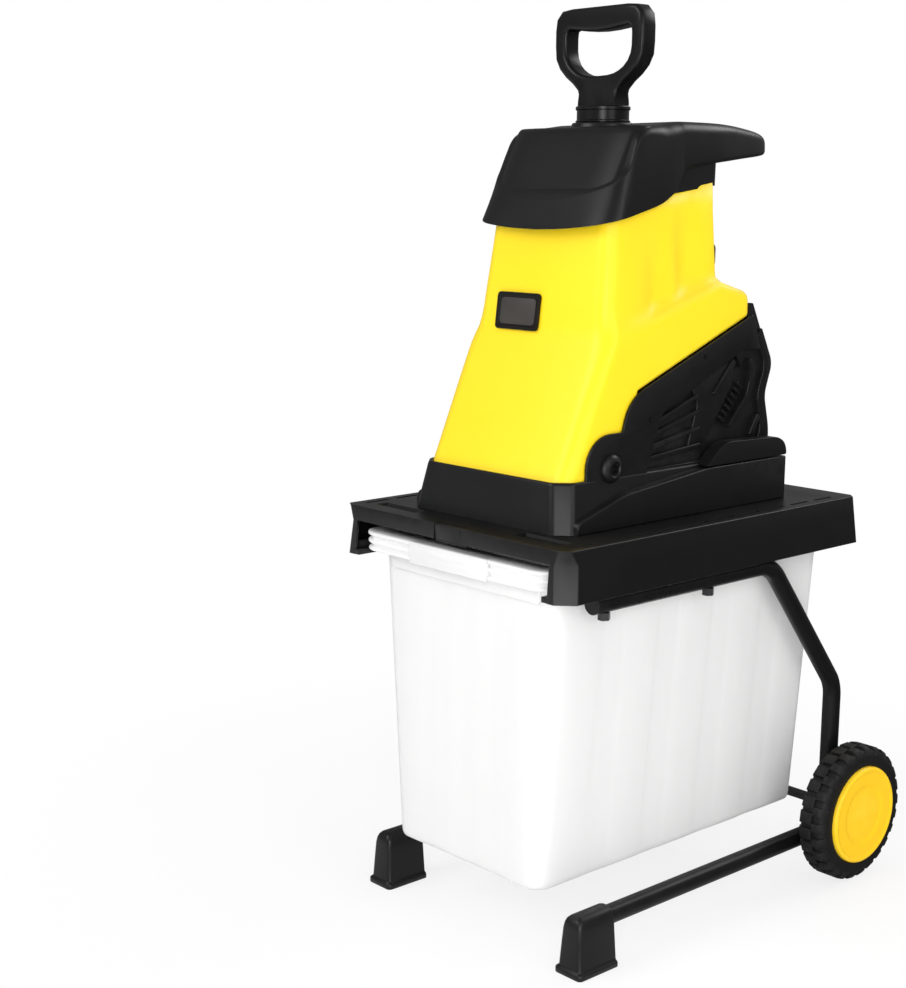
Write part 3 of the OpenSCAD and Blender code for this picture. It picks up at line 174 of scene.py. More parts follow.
# %% [markdown]
# Edges of a garden machine are rubbed by hands, hoses and branches, and turn a little paler there.
# The rub could be painted on, but the pointiness of the mesh finds the bevelled edges by itself. A
# noise breaks the line up so that it doesn't look drawn.

# %% Edge rub group
edge_rub, rub_in, rub_out = new_group("edge_rub",
    [("Place", VECTOR, (0, 0, 0)), ("Start", FLOAT, 0.52), ("End", FLOAT, 0.62)], [("Mask", FLOAT)])
sharpness = place(edge_rub, "ShaderNodeNewGeometry").outputs["Pointiness"]
rub_cut = spread(edge_rub, sharpness, rub_in.outputs["Start"], rub_in.outputs["End"])
breaks = noise(edge_rub, rub_in.outputs["Place"], scale=60.0, detail=5.0)
break_cut = spread(edge_rub, breaks, 0.35, 0.6)
feed(edge_rub, rub_out, Mask=times(edge_rub, rub_cut, break_cut))
print("group", edge_rub.name, "with", len(edge_rub.nodes), "nodes")

# %% [markdown]
# Leaf dust settles on what faces up. The group measures how far a face looks upwards and thins the
# result with a ragged noise. It stays faint, because this machine is almost new.

# %% Settled dust group
settled_dust, dust_in, dust_out = new_group("settled_dust",
    [("Place", VECTOR, (0, 0, 0)), ("Amount", FLOAT, 0.2)], [("Mask", FLOAT)])
facing = place(settled_dust, "ShaderNodeSeparateXYZ",
    Vector=place(settled_dust, "ShaderNodeNewGeometry").outputs["Normal"])
up = spread(settled_dust, facing.outputs["Z"], 0.55, 1.0)
ragged = noise(settled_dust, dust_in.outputs["Place"], scale=24.0, detail=8.0, roughness=0.7)
on_top = times(settled_dust, up, spread(settled_dust, ragged, 0.4, 0.75))
feed(settled_dust, dust_out, Mask=times(settled_dust, on_top, dust_in.outputs["Amount"]))
print("group", settled_dust.name, "with", len(settled_dust.nodes), "nodes")

# %% [markdown]
# Every plastic finish is built the same way: a base colour that drifts slightly, a paler rub on the
# edges, a little dust on top, a gloss that follows the cloud, and the pebble as a bump. Each could be
# a network of its own, but only the numbers differ, so one function makes them all.

# %% Plastic finish
DUST_COLOUR = (0.42, 0.37, 0.29, 1)
DUST_DULLS = 0.4
CLOUD = (0.3, 0.7)


def plastic(name, colour, other, rubbed, gloss, grain=900, depth=0.05, dust=0.15, specular=0.5):
    """A moulded finish; gloss is a range of roughness, depth the pebble's in millimetres."""
    finish, tree, shader, place_of = new_finish(name)
    skin = use_group(tree, mould_skin, Place=place_of, Grain=grain)
    rub = use_group(tree, edge_rub, Place=place_of).outputs["Mask"]
    dusty = use_group(tree, settled_dust, Place=place_of, Amount=dust).outputs["Mask"]
    base = blend(tree, skin.outputs["Cloud"], (*colour, 1), (*other, 1))
    base = blend(tree, rub, base, (*rubbed, 1))
    base = blend(tree, dusty, base, DUST_COLOUR)
    rough = spread(tree, skin.outputs["Cloud"], *CLOUD, *gloss)
    rougher = place(tree, "ShaderNodeMath", {"operation": "MULTIPLY_ADD"}, i0=dusty, i1=DUST_DULLS, i2=rough)
    feed(tree, shader, Base_Color=base, Roughness=rougher.outputs[0], Specular_IOR_Level=specular,
        Normal=bumped(tree, skin.outputs["Height"], strength=0.35, depth=depth))
    return finish

black_plastic = plastic("black_plastic", (0.0042, 0.0042, 0.0046), (0.0056, 0.0056, 0.006),
    (0.013, 0.013, 0.014), (0.32, 0.42), grain=1100, depth=0.07, dust=0.015, specular=0.3)
grip_plastic = plastic("grip_plastic", (0.004, 0.004, 0.0044), (0.005, 0.005, 0.0055),
    (0.010, 0.010, 0.011), (0.26, 0.36), grain=800, depth=0.03, dust=0.01, specular=0.24)
yellow_plastic = plastic("yellow_plastic", (0.945, 0.68, 0.012), (0.96, 0.7, 0.014),
    (1.0, 0.78, 0.05), (0.34, 0.44), grain=700, depth=0.03, dust=0.0, specular=0.3)
hub_plastic = plastic("hub_plastic", (0.95, 0.575, 0.008), (0.97, 0.6, 0.01),
    (1.0, 0.74, 0.06), (0.26, 0.36), grain=700, depth=0.02, dust=0.02, specular=0.3)
tyre_plastic = plastic("tyre_plastic", (0.006, 0.006, 0.0063), (0.009, 0.009, 0.0094),
    (0.02, 0.02, 0.02), (0.5, 0.66), grain=500, depth=0.14, dust=0.06, specular=0.26)
badge_plastic = plastic("badge_plastic", (0.006, 0.005, 0.004), (0.008, 0.007, 0.006),
    (0.02, 0.018, 0.016), (0.36, 0.46), grain=1200, depth=0.03, dust=0.0, specular=0.16)
# The paler finish for the plate's middle is painted sheen: its colour stands in for a glossy reflection.
painted_sheen_plastic = plastic("painted_sheen_plastic", (0.036, 0.032, 0.029), (0.044, 0.04, 0.036),
    (0.06, 0.055, 0.05), (0.42, 0.55), grain=1200, depth=0.03, dust=0.0, specular=0.3)
green_plastic = plastic("green_plastic", (0.02, 0.26, 0.05), (0.03, 0.32, 0.07),
    (0.2, 0.5, 0.25), (0.28, 0.4))
red_plastic = plastic("red_plastic", (0.45, 0.015, 0.015), (0.52, 0.02, 0.02),
    (0.7, 0.2, 0.18), (0.28, 0.4))
print("plastics ready")

# %% [markdown]
# The collection box is natural polyethylene: milky, a little waxy, and thin enough to let light
# through. Clear glass nodes would show what is behind it too sharply. Some of the light that lands on
# the wall comes out again from the far side, so it is mostly a white diffuser with a share of soft
# transmission, and with faint flow marks that run up and down.

# %% Box finish
box_plastic, tree, shader, place_of = new_finish("box_plastic")
skin = use_group(tree, mould_skin, Place=place_of, Grain=420.0, Drift=5.0)
streaks = noise(tree, stretched(tree, place_of, (26, 26, 1.6)), scale=1.0, detail=4.0, roughness=0.6)
milk = blend(tree, streaks, (0.85, 0.845, 0.845, 1), (0.91, 0.905, 0.905, 1))
feed(tree, shader, Base_Color=milk, IOR=1.5, Transmission_Weight=0.12,
    Roughness=spread(tree, skin.outputs["Cloud"], *CLOUD, 0.34, 0.48),
    Normal=bumped(tree, skin.outputs["Height"], strength=0.25, depth=0.06),
    Subsurface_Weight=0.35, Subsurface_Radius=(0.012, 0.012, 0.012), Subsurface_Scale=1.0)
print("box finish ready")

# %% [markdown]
# The frame tube is steel with a black powder coat. The coat is glossy but has orange peel, a slow
# ripple a millimetre or two across. Bare metal parts carry fine lines from turning or rolling, so
# their noise is stretched along one axis and drives the gloss as well as a bump.

# %% Metal finishes
black_tube, tree, shader, place_of = new_finish("black_tube")
skin = use_group(tree, mould_skin, Place=place_of, Grain=900.0, Drift=14.0)
rub = use_group(tree, edge_rub, Place=place_of, Start=0.54, End=0.7).outputs["Mask"]
coat = blend(tree, skin.outputs["Cloud"], (0.004, 0.004, 0.0045, 1), (0.007, 0.007, 0.0075, 1))
feed(tree, shader, Base_Color=blend(tree, rub, coat, (0.02, 0.02, 0.021, 1)), Specular_IOR_Level=0.2,
    Roughness=spread(tree, skin.outputs["Cloud"], *CLOUD, 0.26, 0.36),
    Normal=bumped(tree, noise(tree, place_of, scale=420.0, detail=2.0), strength=0.3, depth=0.1))


def worked_metal(name, colour, stained, gloss, stretch):
    """Bare metal; gloss is a range of roughness, stretch the lines to the metre along each axis."""
    finish, tree, shader, place_of = new_finish(name)
    lines = noise(tree, stretched(tree, place_of, stretch), scale=1.0, detail=5.0)
    skin = use_group(tree, mould_skin, Place=place_of, Grain=600.0, Drift=40.0)
    tint = blend(tree, skin.outputs["Cloud"], (*colour, 1), (*stained, 1))
    feed(tree, shader, Base_Color=tint, Metallic=1.0, Roughness=spread(tree, lines, *CLOUD, *gloss),
        Normal=bumped(tree, lines, strength=0.2, depth=0.05))
    return finish

zinc_steel = worked_metal("zinc_steel", (0.58, 0.59, 0.6), (0.5, 0.51, 0.5), (0.25, 0.42), (30, 400, 400))
dark_zinc = worked_metal("dark_zinc", (0.045, 0.045, 0.048), (0.08, 0.08, 0.082), (0.28, 0.45), (300, 60, 60))
tool_steel = worked_metal("tool_steel", (0.56, 0.57, 0.58), (0.45, 0.44, 0.42), (0.18, 0.36), (500, 40, 500))
cast_aluminium = worked_metal("cast_aluminium", (0.62, 0.63, 0.64), (0.52, 0.53, 0.54),
    (0.42, 0.6), (220, 220, 220))
core_iron = worked_metal("core_iron", (0.2, 0.19, 0.18), (0.32, 0.29, 0.26), (0.35, 0.55), (40, 40, 900))
chute_sheet = worked_metal("chute_sheet", (0.6, 0.61, 0.62), (0.52, 0.53, 0.54), (0.36, 0.42), (60, 60, 6))
print("metals ready")

# %% [markdown]
# Working parts inside the machine, the axle and the small screws, nuts and bolts keep their CAD
# shape, which is already right. Each of these nodes only needs its finish, so a table pairs them. Of
# the other nodes, the cooling fan stays in black plastic, and the rest are hidden later by the piece
# that is rebuilt in their place.

# %% Finishes for the CAD nodes
CAD_FINISH = {
    zinc_steel: ("rotor_shaft", "bearing_upper", "bearing_lower"),
    dark_zinc: ("axle", "axle_nuts", "axle_washers", "frame_bolts", "cover_screws", "blade_screws",
        "disc_bolt"),
    tool_steel: ("blade_disc", "blades"),
    cast_aluminium: ("chamber_plate", "end_shield"),
    core_iron: ("motor_stator", "armature"),
    chute_sheet: ("feed_chute",),
}
finish_of = {node: finish for finish, nodes in CAD_FINISH.items() for node in nodes}
for name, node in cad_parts.items():
    node.data.materials.clear()
    node.data.materials.append(finish_of.get(name, black_plastic))
print(len(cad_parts), "CAD nodes have a finish")

# %% [markdown]
# Modelling helpers. A piece could be pushed into shape point by point, but a drawing is easier to
# follow and to change, so a piece starts as a flat outline or a stack of outlines. Rounding a corner
# is a vertex bevel, joining two outlines is a bridge, and thickness is an extrude.

# %% Outlines and skins
X, Y, Z = 0, 1, 2


def once(items):
    """Each item once, in the order in which they come."""
    return list(dict.fromkeys(items))


def verts_in(geom):
    return [g for g in geom if isinstance(g, bmesh.types.BMVert)]


def edges_in(geom):
    return [g for g in geom if isinstance(g, bmesh.types.BMEdge)]


def everything(bm):
    return bm.verts[:] + bm.edges[:] + bm.faces[:]


def rounded(corners, radii, segments=5):
    """Outline through the corners, each rounded by its own radius, as a list of points."""
    sketch = bmesh.new()
    marks = [sketch.verts.new(c) for c in corners]
    sketch.faces.new(marks)
    for mark, radius in zip(marks, radii):
        if radius:
            bmesh.ops.bevel(sketch, geom=[mark], offset=radius, offset_type="OFFSET", affect="VERTICES",
                segments=segments, profile=0.5, material=-1)
    sketch.faces.ensure_lookup_table()
    points = [corner.vert.co.copy() for corner in sketch.faces[0].loops]
    sketch.free()
    return points


def side_view(profile, x, segments=5):
    """Outline seen from the side, from rows of y, z and corner radius."""
    return rounded([(x, y, z) for y, z, r in profile], [r for y, z, r in profile], segments)


def loop(bm, points):
    """Edges that join the points in a ring."""
    marks = [bm.verts.new(p) for p in points]
    return [bm.edges.new(pair) for pair in zip(marks, marks[1:] + marks[:1])]


def skin_over(bm, outlines, cap_first=True, cap_last=True):
    """Bridges each outline to the next, and closes the two ends if asked."""
    loops = [loop(bm, outline) for outline in outlines]
    for lower, upper in zip(loops, loops[1:]):
        bmesh.ops.bridge_loops(bm, edges=lower + upper)
    for wanted, edges in ((cap_first, loops[0]), (cap_last, loops[-1])):
        if wanted:
            bmesh.ops.contextual_create(bm, geom=edges)
    return loops


def slab(bm, outline, push):
    """A flat face through the outline, extruded by push."""
    face = bm.faces.new([bm.verts.new(p) for p in outline])
    tops = verts_in(bmesh.ops.extrude_face_region(bm, geom=[face])["geom"])
    bmesh.ops.translate(bm, verts=tops, vec=push)
    return tops

print("outline helpers ready")

# %% [markdown]
# Softness is an edge bevel, and a small brick with soft edges is needed often. A piece can be put
# together from several forms and mirrored. The last helper merges doubles, turns all faces outwards,
# scales to metres, and hands the piece to the frame with its body and the nodes it replaces.

# %% Soft edges and finished pieces
MM = 0.001
SAME_PLACE = 0.005


def clean(bm):
    bmesh.ops.remove_doubles(bm, verts=bm.verts, dist=SAME_PLACE)
    bmesh.ops.recalc_face_normals(bm, faces=bm.faces)


def least(edge, axis):
    """The lower of the edge's two ends along an axis."""
    return min(v.co[axis] for v in edge.verts)


def soften(bm, radius, segments=3, angle=30, where=None):
    """Bevels every edge that turns by more than the angle."""
    clean(bm)
    edges = [e for e in bm.edges if e.is_manifold and e.calc_face_angle(0) > radians(angle)
        and (where is None or where(e))]
    bmesh.ops.bevel(bm, geom=edges, offset=radius, offset_type="OFFSET", affect="EDGES", segments=segments,
        profile=0.5, material=-1, clamp_overlap=True)
    return len(edges)


def brick(low, high, edge):
    """A block between two opposite corners, with soft edges."""
    (x0, y0, z0), (x1, y1, z1) = low, high
    form = bmesh.new()
    slab(form, [(x0, y0, z0), (x1, y0, z0), (x1, y1, z0), (x0, y1, z0)], (0, 0, z1 - z0))
    soften(form, edge, segments=2)
    return form


def mirrored(bm):
    """Adds the other hand of everything made so far, across the middle of the machine."""
    copy = bmesh.ops.duplicate(bm, geom=everything(bm))["geom"]
    bmesh.ops.scale(bm, verts=verts_in(copy), vec=(-1, 1, 1))
    bmesh.ops.reverse_faces(bm, faces=[g for g in copy if isinstance(g, bmesh.types.BMFace)])


def add_mesh(bm, other):
    """Puts one finished form into another."""
    mesh = bpy.data.meshes.new("form")
    other.to_mesh(mesh)
    other.free()
    bm.from_mesh(mesh)
    bpy.data.meshes.remove(mesh)


def join_piece(bm, name, finish, body, nodes=(), crisp=35):
    """Makes the form a piece of the machine; edges that turn by more than crisp stay sharp."""
    clean(bm)
    bmesh.ops.scale(bm, verts=bm.verts, vec=(MM, MM, MM))
    for face in bm.faces:
        face.smooth = True
    for edge in bm.edges:
        edge.smooth = not edge.is_manifold or edge.calc_face_angle(0) < radians(crisp)
    mesh = bpy.data.meshes.new(name)
    bm.to_mesh(mesh)
    open_edges = sum(not e.is_manifold for e in bm.edges)
    bm.free()
    mesh.materials.append(finish)
    piece = bpy.data.objects.new(name, mesh)
    scene.collection.objects.link(piece)
    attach(piece, body)
    if nodes:
        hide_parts(*nodes)
    print(f"{name}: {len(mesh.polygons)} faces, {open_edges} open edges, on {body}")
    return piece

print("piece helpers ready")

# %% [markdown]
# The D grip is a thick ring that runs down into a stem. A bent curve with a round profile would miss
# its flat front. So two outlines are drawn, one outside and one round the opening, with as many points
# each, and a bridge between them gives a clean strip of quads. The strip is extruded to the grip's
# thickness, and a wide bevel makes the bars round to the hand.

# %% D grip
FEED_Y = -56
GRIP_FOOT, GRIP_THICK = 935.5, 24
GRIP_OUT = [(0, GRIP_FOOT), (28.4, GRIP_FOOT), (28.2, 944), (31, 953), (39, 960.5), (50, 968), (60, 977.5),
    (66.3, 989), (67.5, 1003), (67.5, 1020), (65.6, 1033), (57, 1042), (42, 1043.5), (20, 1043.5),
    (0, 1043.5)]
GRIP_IN = [(0, 968.5), (13, 969), (23, 970.6), (31, 973.6), (38, 977.8), (44, 983.6), (48, 991),
    (49.4, 998.5), (49.5, 1006), (49.5, 1013), (48.6, 1019), (44.5, 1021), (32, 1019.2), (16, 1017.6),
    (0, 1017)]


def both_halves(half, y):
    return [Vector((x, y, z)) for x, z in half] + [Vector((-x, y, z)) for x, z in half[-2:0:-1]]

grip = bmesh.new()
outer, inner = [loop(grip, both_halves(half, FEED_Y - GRIP_THICK / 2)) for half in (GRIP_OUT, GRIP_IN)]
bmesh.ops.bridge_loops(grip, edges=outer + inner)
grown = bmesh.ops.extrude_face_region(grip, geom=grip.faces[:])["geom"]
bmesh.ops.translate(grip, verts=verts_in(grown), vec=(0, GRIP_THICK, 0))
count = soften(grip, 7.5, segments=5, angle=60, where=lambda e: least(e, Z) > GRIP_FOOT + 0.5)
print("grip edges rounded:", count)
join_piece(grip, "d_grip", grip_plastic, "plunger", ["plunger_grip"], crisp=50)

# %% [markdown]
# Below the grip sits a round collar, then a plug that fills the feed opening, and a cross-ribbed
# shaft with a paddle at its foot. A lathe would turn the round parts, so each is one profile spun
# about the shaft's axis. The ribs are a plus-shaped outline pulled downwards.

# %% Plunger shaft
def spun(bm, profile, centre, axis, steps=48):
    """Spins a closed profile, given as points in space, once round the axis."""
    edges = loop(bm, profile)
    bmesh.ops.spin(bm, geom=edges + once(v for e in edges for v in e.verts), cent=centre, axis=axis,
        angle=2 * pi, steps=steps, use_merge=True)


def spun_upright(bm, profile, y, steps=48):
    """Spins rows of radius and height about an upright axis in the middle of the machine."""
    spun(bm, [Vector((r, y, z)) for r, z in profile], (0, y, 0), (0, 0, 1), steps)

COLLAR = [(0.01, 912), (0.01, 935.4), (28.6, 935.4), (30.2, 935.2), (31, 934.2), (31, 931.5), (29.6, 930.6),
    (29.6, 920.2), (31, 919.2), (31, 918.2), (30.4, 917.6), (28.5, 917.6), (28.5, 909), (27, 907.5),
    (0.01, 907.5)]
PADDLE = [(0.01, 798), (0.01, 805.5), (25, 805.5), (27, 803.5), (27, 799.5), (25.5, 797.6), (0.01, 797.6)]
RIB_REACH, RIB_HALF, RIB_TOP, RIB_LENGTH = 25, 4, 909, 106
stem = bmesh.new()
spun_upright(stem, COLLAR, FEED_Y)
spun_upright(stem, PADDLE, FEED_Y)
quarter = [(RIB_REACH, RIB_HALF), (RIB_HALF, RIB_HALF), (RIB_HALF, RIB_REACH)]
plus = []
for turn in range(4):
    plus += quarter
    quarter = [(-y, x) for x, y in quarter]
ribs = bmesh.new()
slab(ribs, [(x, FEED_Y + y, RIB_TOP) for x, y in plus], (0, 0, -RIB_LENGTH))
soften(ribs, 1.2, segments=2)
add_mesh(stem, ribs)
join_piece(stem, "plunger_stem", grip_plastic, "plunger", ["plunger_shaft"])

# %% [markdown]
# The hood is one black moulding in which two forms flow together. A sweep runs from the middle of
# the front, round the corner, along the side and back into the broad handle: its lower edge dips
# at the front and its upper edge climbs beside the cap, which draws the one curved crease. A cap
# with a slightly bowed front fills the space inside the crease and carries the feed opening. One
# sculpted block could be both, but two bridged stacks keep the crease crisp and easy to move.

# %% Outline helpers for stacked forms
def around(side, segments=6):
    """Outline round the machine, from its right side given front to rear as (half width, y, z, radius)."""
    both = [((x, y, z), r) for x, y, z, r in side] + [((-x, y, z), r) for x, y, z, r in reversed(side)]
    return rounded([p for p, r in both], [r for p, r in both], segments)


def circle_points(centre, radius, count):
    """A level circle that starts at the front."""
    turns = [2 * pi * i / count for i in range(count)]
    x, y, z = centre
    return [Vector((x + radius * sin(t), y - radius * cos(t), z)) for t in turns]


def smoothly(rows, steps=4):
    """Adds rows between the given ones on a curve that passes through them all."""
    ends = [rows[0]] + rows + [rows[-1]]
    curve = []
    for a, b, c, d in zip(ends, ends[1:], ends[2:], ends[3:]):
        for t in (k / steps for k in range(steps)):
            curve.append([q + 0.5 * t * (r - p + t * (2 * p - 5 * q + 4 * r - w + t * (3 * (q - r) + w - p)))
                for p, q, r, w in zip(a, b, c, d)])
    return curve + [list(rows[-1])]

print("stack helpers ready")

# %% Hood sweep
# Each row is a section: half width, y and z of its lower edge, the same of its upper edge, top radius.
SWEEP = [(3, -160.6, 799.8, 3, -147.5, 831, 1.4), (40, -160.3, 801, 38, -146, 833.8, 1.6),
    (70, -159.2, 803.4, 64, -142.4, 840, 1.6), (88, -156, 805.6, 80, -138, 845, 1.8),
    (100, -148.6, 808.2, 91, -133, 850.2, 2), (106, -138, 810.8, 98, -127, 857, 2.4),
    (107, -126, 813.4, 101.4, -118.6, 868, 3.5), (106.6, -112, 816.8, 101.2, -110.6, 886, 5),
    (105.9, -98, 820.2, 100.8, -102.4, 902, 7), (105.2, -84, 823.6, 100.5, -90, 909.6, 9),
    (104.4, -68, 828.4, 100.2, -72, 912.4, 12), (103.4, -57.5, 833.4, 99.8, -58, 914, 15),
    (101.8, -46, 839.5, 99.2, -46, 915.6, 15), (100.4, -38, 847.5, 98.6, -38, 916.6, 15),
    (99.4, -31, 857.5, 98, -31, 917, 14), (98.6, -24, 863.6, 97.6, -24, 917.4, 13),
    (97, 0, 868.6, 96.2, 0, 917.6, 13), (93.2, 38, 873.2, 92.6, 38, 917.6, 13),
    (87.2, 70, 876.2, 86.6, 70, 916.8, 12), (80.2, 100, 879, 79.6, 100, 915, 12),
    (72.2, 135, 882, 71.4, 135, 911.6, 11), (66.8, 153, 884, 65.8, 153, 908.6, 10),
    (62.4, 160, 885.4, 61, 160, 905.4, 8), (57.6, 163.6, 887, 56.4, 163.6, 902, 5.5),
    (53, 165, 889.5, 52, 165, 898.5, 3)]
HANDLE_Y = -30


def hood_section(x0, y0, z0, x1, y1, z1, radius):
    """One section; its lower edge is almost sharp up to the handle, and round along it."""
    low = min(radius, 5) if y0 > HANDLE_Y else 1.2
    return rounded([(x0, y0, z0), (x1, y1, z1), (-x1, y1, z1), (-x0, y0, z0)], [low, radius, radius, low])

hood = bmesh.new()
skin_over(hood, [hood_section(*row) for row in smoothly(SWEEP)])
print("sweep has", len(hood.faces), "faces")

# %% Hood front cap with the feed opening
CAP_FRONT, CAP_FOOT, CAP_LEAN = -145.4, 831, 0.507
BOW, BOW_START = 0.0045, 58
# Each row is an outline: height, half width, corner radius, how far back, and the rise of its rear.
CAP_ROWS = [(826, 97, 16, 0, 23), (838, 97, 16, 0, 12), (850, 97, 16, 0, 2), (870, 97.4, 15, 0, 0),
    (890, 98, 14, 0, 0), (902, 98.2, 13, 0, 0), (907.4, 98, 12, 0.3, 0), (909.8, 97, 12, 1.2, 0),
    (911.1, 95, 11, 2.8, 0), (911.6, 92, 10, 6, 0)]
SEAT = [(29.1, 904), (29.1, 916.2), (29.9, 917), (33.6, 917), (34.7, 916.4), (35.3, 915), (36.5, 904)]
MOUTH_RADIUS, THROAT = 29.2, 66


def cap_ring(z, half, radius, back, rise):
    """Outline of the cap; its bowed front leans back with height."""
    front = CAP_FRONT + CAP_LEAN * (z - CAP_FOOT) + back
    bowed = [(x, front + BOW * max(0, x - BOW_START) ** 2) for x in (25, 50, 62, 74, 86, half)]
    side = min(half - 4, 95.5)
    rows = [(x, y, z, 0) for x, y in bowed[:-1]] + [(*bowed[-1], z, radius)]
    return around(rows + [(side, -60, z + 0.45 * rise, 0), (side - 2, 41, z + rise, 10)])

cap_form = bmesh.new()
cap_stack = [cap_ring(*row) for row in CAP_ROWS]
loops = skin_over(cap_form, cap_stack, cap_last=False)
mouth = loop(cap_form, circle_points((0, FEED_Y, CAP_ROWS[-1][0]), MOUTH_RADIUS, len(cap_stack[0])))
bmesh.ops.bridge_loops(cap_form, edges=loops[-1] + mouth)
throat = verts_in(bmesh.ops.extrude_edge_only(cap_form, edges=mouth)["geom"])
bmesh.ops.translate(cap_form, verts=throat, vec=(0, 0, -THROAT))
add_mesh(hood, cap_form)
seat = bmesh.new()
spun_upright(seat, SEAT, FEED_Y)
add_mesh(hood, seat)
join_piece(hood, "hood_moulding", black_plastic, "hopper", ["hood"], crisp=50)

# %% [markdown]
# The yellow hopper is a sloping skirt with a tower standing out of it. The fold between them rises
# towards the rear, so every outline is bent along its sides: low at the front corner, highest over
# the motor. Two shallow scoops are pressed into each side of the tower. Boxes joined together would
# leave hard seams where the moulding flows, so one skin is bridged over the whole stack.

# %% Hopper skin
# Each row is a point along the tower's side: y, its share of a scoop's depth, and which scoop.
SCOOPS = [(-86, 0, 0), (-79, 0.8, 0), (-60, 1, 0), (-49, 0, 0),
    (-37, 0, 1), (-30, 0.8, 1), (-9, 1, 1), (5, 0, 1)]
FOLD_Y, FOLD_TOP, FOLD_RISE, FOLD_FALL = 28, 738, 0.308, 0.22
TOWER_FOOT, TOWER_HALF, TOWER_TAPER = 685, 105, 0.0875
TOP_CLIMB, CLIMB_START = 0.15, -60
TOWER = None


def fold_z(y):
    """Height of the fold between skirt and tower; it peaks over the motor."""
    return FOLD_TOP - FOLD_RISE * (FOLD_Y - y) if y < FOLD_Y else FOLD_TOP - FOLD_FALL * (y - FOLD_Y)


def tower_half(z):
    return TOWER_HALF - TOWER_TAPER * (z - TOWER_FOOT)


def hopper_ring(front_y, front_z, half, lift, rear_y, r_front, r_rear, depth=(0, 0), flat=None):
    """One outline; lift is its height over the fold along the sides, flat a fixed height instead."""
    def point(y, z, radius, dent=0.0):
        return ((tower_half(z) if half is TOWER else half) - dent, y, z, radius)

    def height(y):
        return flat if flat else fold_z(y) + lift

    side = [point(front_y, front_z, r_front)]
    side += [point(y, height(y), 0, depth[which] * share) for y, share, which in SCOOPS + [(FOLD_Y, 0, 0)]]
    return around(side + [point(rear_y, height(rear_y), r_rear)])

hopper_stack = [
    hopper_ring(-237.6, 500, 112.5, 0, 84, 20, 12, flat=500),
    hopper_ring(-184, 623, 112.5, -46, 84, 22, 13),
    hopper_ring(-170, 655, 112.5, -15, 84, 23, 14),
    hopper_ring(-165.7, 665, 112.4, -8, 84, 23.5, 14),
    hopper_ring(-160.8, 676, 111.4, -3, 82.8, 24, 14),
    hopper_ring(-156.9, 686, 109, 0.6, 79, 24, 14),
    hopper_ring(-155.2, 697, 106, 3.6, 44, 23, 17),
    hopper_ring(-153.7, 710, TOWER, 9, 38.6, 21, 18, (2.5, 2.5)),
    hopper_ring(-151.5, 726, TOWER, 20, 38, 20, 18, (7, 7)),
    hopper_ring(-146.4, 765, TOWER, 0, 38, 19.5, 18, (3.4, 7), flat=765),
    hopper_ring(-143.2, 790, TOWER, 0, 38, 19, 18, (0, 5), flat=790),
    hopper_ring(-139.2, 820, TOWER, 0, 38, 18, 18, (0, 1), flat=820),
    hopper_ring(-137, 838, TOWER, 0, 38, 18, 18, flat=838)]
for point in hopper_stack[-1]:
    point.z += TOP_CLIMB * max(0, point.y - CLIMB_START)
hopper = bmesh.new()
skin_over(hopper, hopper_stack, cap_first=False, cap_last=False)
print("hopper skin has", len(hopper.faces), "faces")

# %% [markdown]
# The skin is trimmed along the parting line with the base, which runs level at the front, up behind
# the hinge ear and then slopes to the rear. A boolean would do it too, but planes give cleaner edges:
# the skin is split where the line turns, and each part is cut by its own plane. A second cut a little
# higher adds a line of points, so that the pointiness of the edge stays close to it. A Solidify gives
# the wall.

# %% Trim the hopper along the parting line
EDGE_BAND = 3.2
PART_Z, EAR_Z, REAR_SLOPE = 527.5, 627.5, 0.394
EAR_FRONT, EAR_REAR = -141, -111
HOPPER_WALL = 3


def with_edges(faces):
    """The faces with their edges and corners, as an operator wants them."""
    return once([*faces, *(e for f in faces for e in f.edges), *(v for f in faces for v in f.verts)])


def split(bm, axis, at, snap=0.0, faces=None):
    """Cuts along a plane across the axis and keeps both sides."""
    normal = Vector((0, 0, 0))
    normal[axis] = 1
    geom = with_edges(faces) if faces else everything(bm)
    bmesh.ops.bisect_plane(bm, geom=geom, dist=snap, plane_co=normal * at, plane_no=normal)


def trim(bm, zone, where, normal):
    """Cuts the zone's faces, removes what the normal points away from and adds a line near the edge."""
    for lift, remove in ((0, True), (EDGE_BAND, False)):
        faces = [f for f in bm.faces if zone(f.calc_center_median())]
        plane = Vector(where) + Vector((0, 0, lift))
        bmesh.ops.bisect_plane(bm, geom=with_edges(faces), plane_co=plane, plane_no=normal,
            clear_inner=remove)

for y in (EAR_FRONT, EAR_REAR):
    split(hopper, Y, y)
    seam = [e for e in hopper.edges if all(abs(v.co.y - y) < 0.01 for v in e.verts)]
    bmesh.ops.split_edges(hopper, edges=seam)
trim(hopper, lambda c: c.y < EAR_FRONT, (0, 0, PART_Z), (0, 0, 1))
climb = (0, PART_Z - EAR_Z, EAR_REAR - EAR_FRONT)
trim(hopper, lambda c: EAR_FRONT < c.y < EAR_REAR, (0, EAR_FRONT, PART_Z), climb)
trim(hopper, lambda c: c.y > EAR_REAR, (0, EAR_REAR, EAR_Z), (0, -REAR_SLOPE, 1))
moulding = join_piece(hopper, "hopper_moulding", yellow_plastic, "hopper", ["hopper"],
    crisp=60)
wall = moulding.modifiers.new("wall", "SOLIDIFY")
wall.thickness = HOPPER_WALL * MM
wall.offset = -1.0
print("hopper wall in mm:", HOPPER_WALL)

# %% [markdown]
# A bare plate sits in the upper front of the hopper. It is a rounded rectangle with a raised rim: an
# inset draws the rim, a push sinks the middle, and small bevels catch the light. The field in the
# middle is a thin piece of its own, paler than the rim, and its colour paints the blurred sheen of a
# glossy reflection there.

# %% Bare plate
PLATE_PLACE, FRONT_LEAN = (-31, -154.6, 708), 0.13125
PLATE_THICK, RIM_WIDE, RIM_HIGH = 3, 3.8, 0.9
on_front = Matrix.Translation(PLATE_PLACE) @ Matrix.Rotation(-atan(FRONT_LEAN), 4, "X")


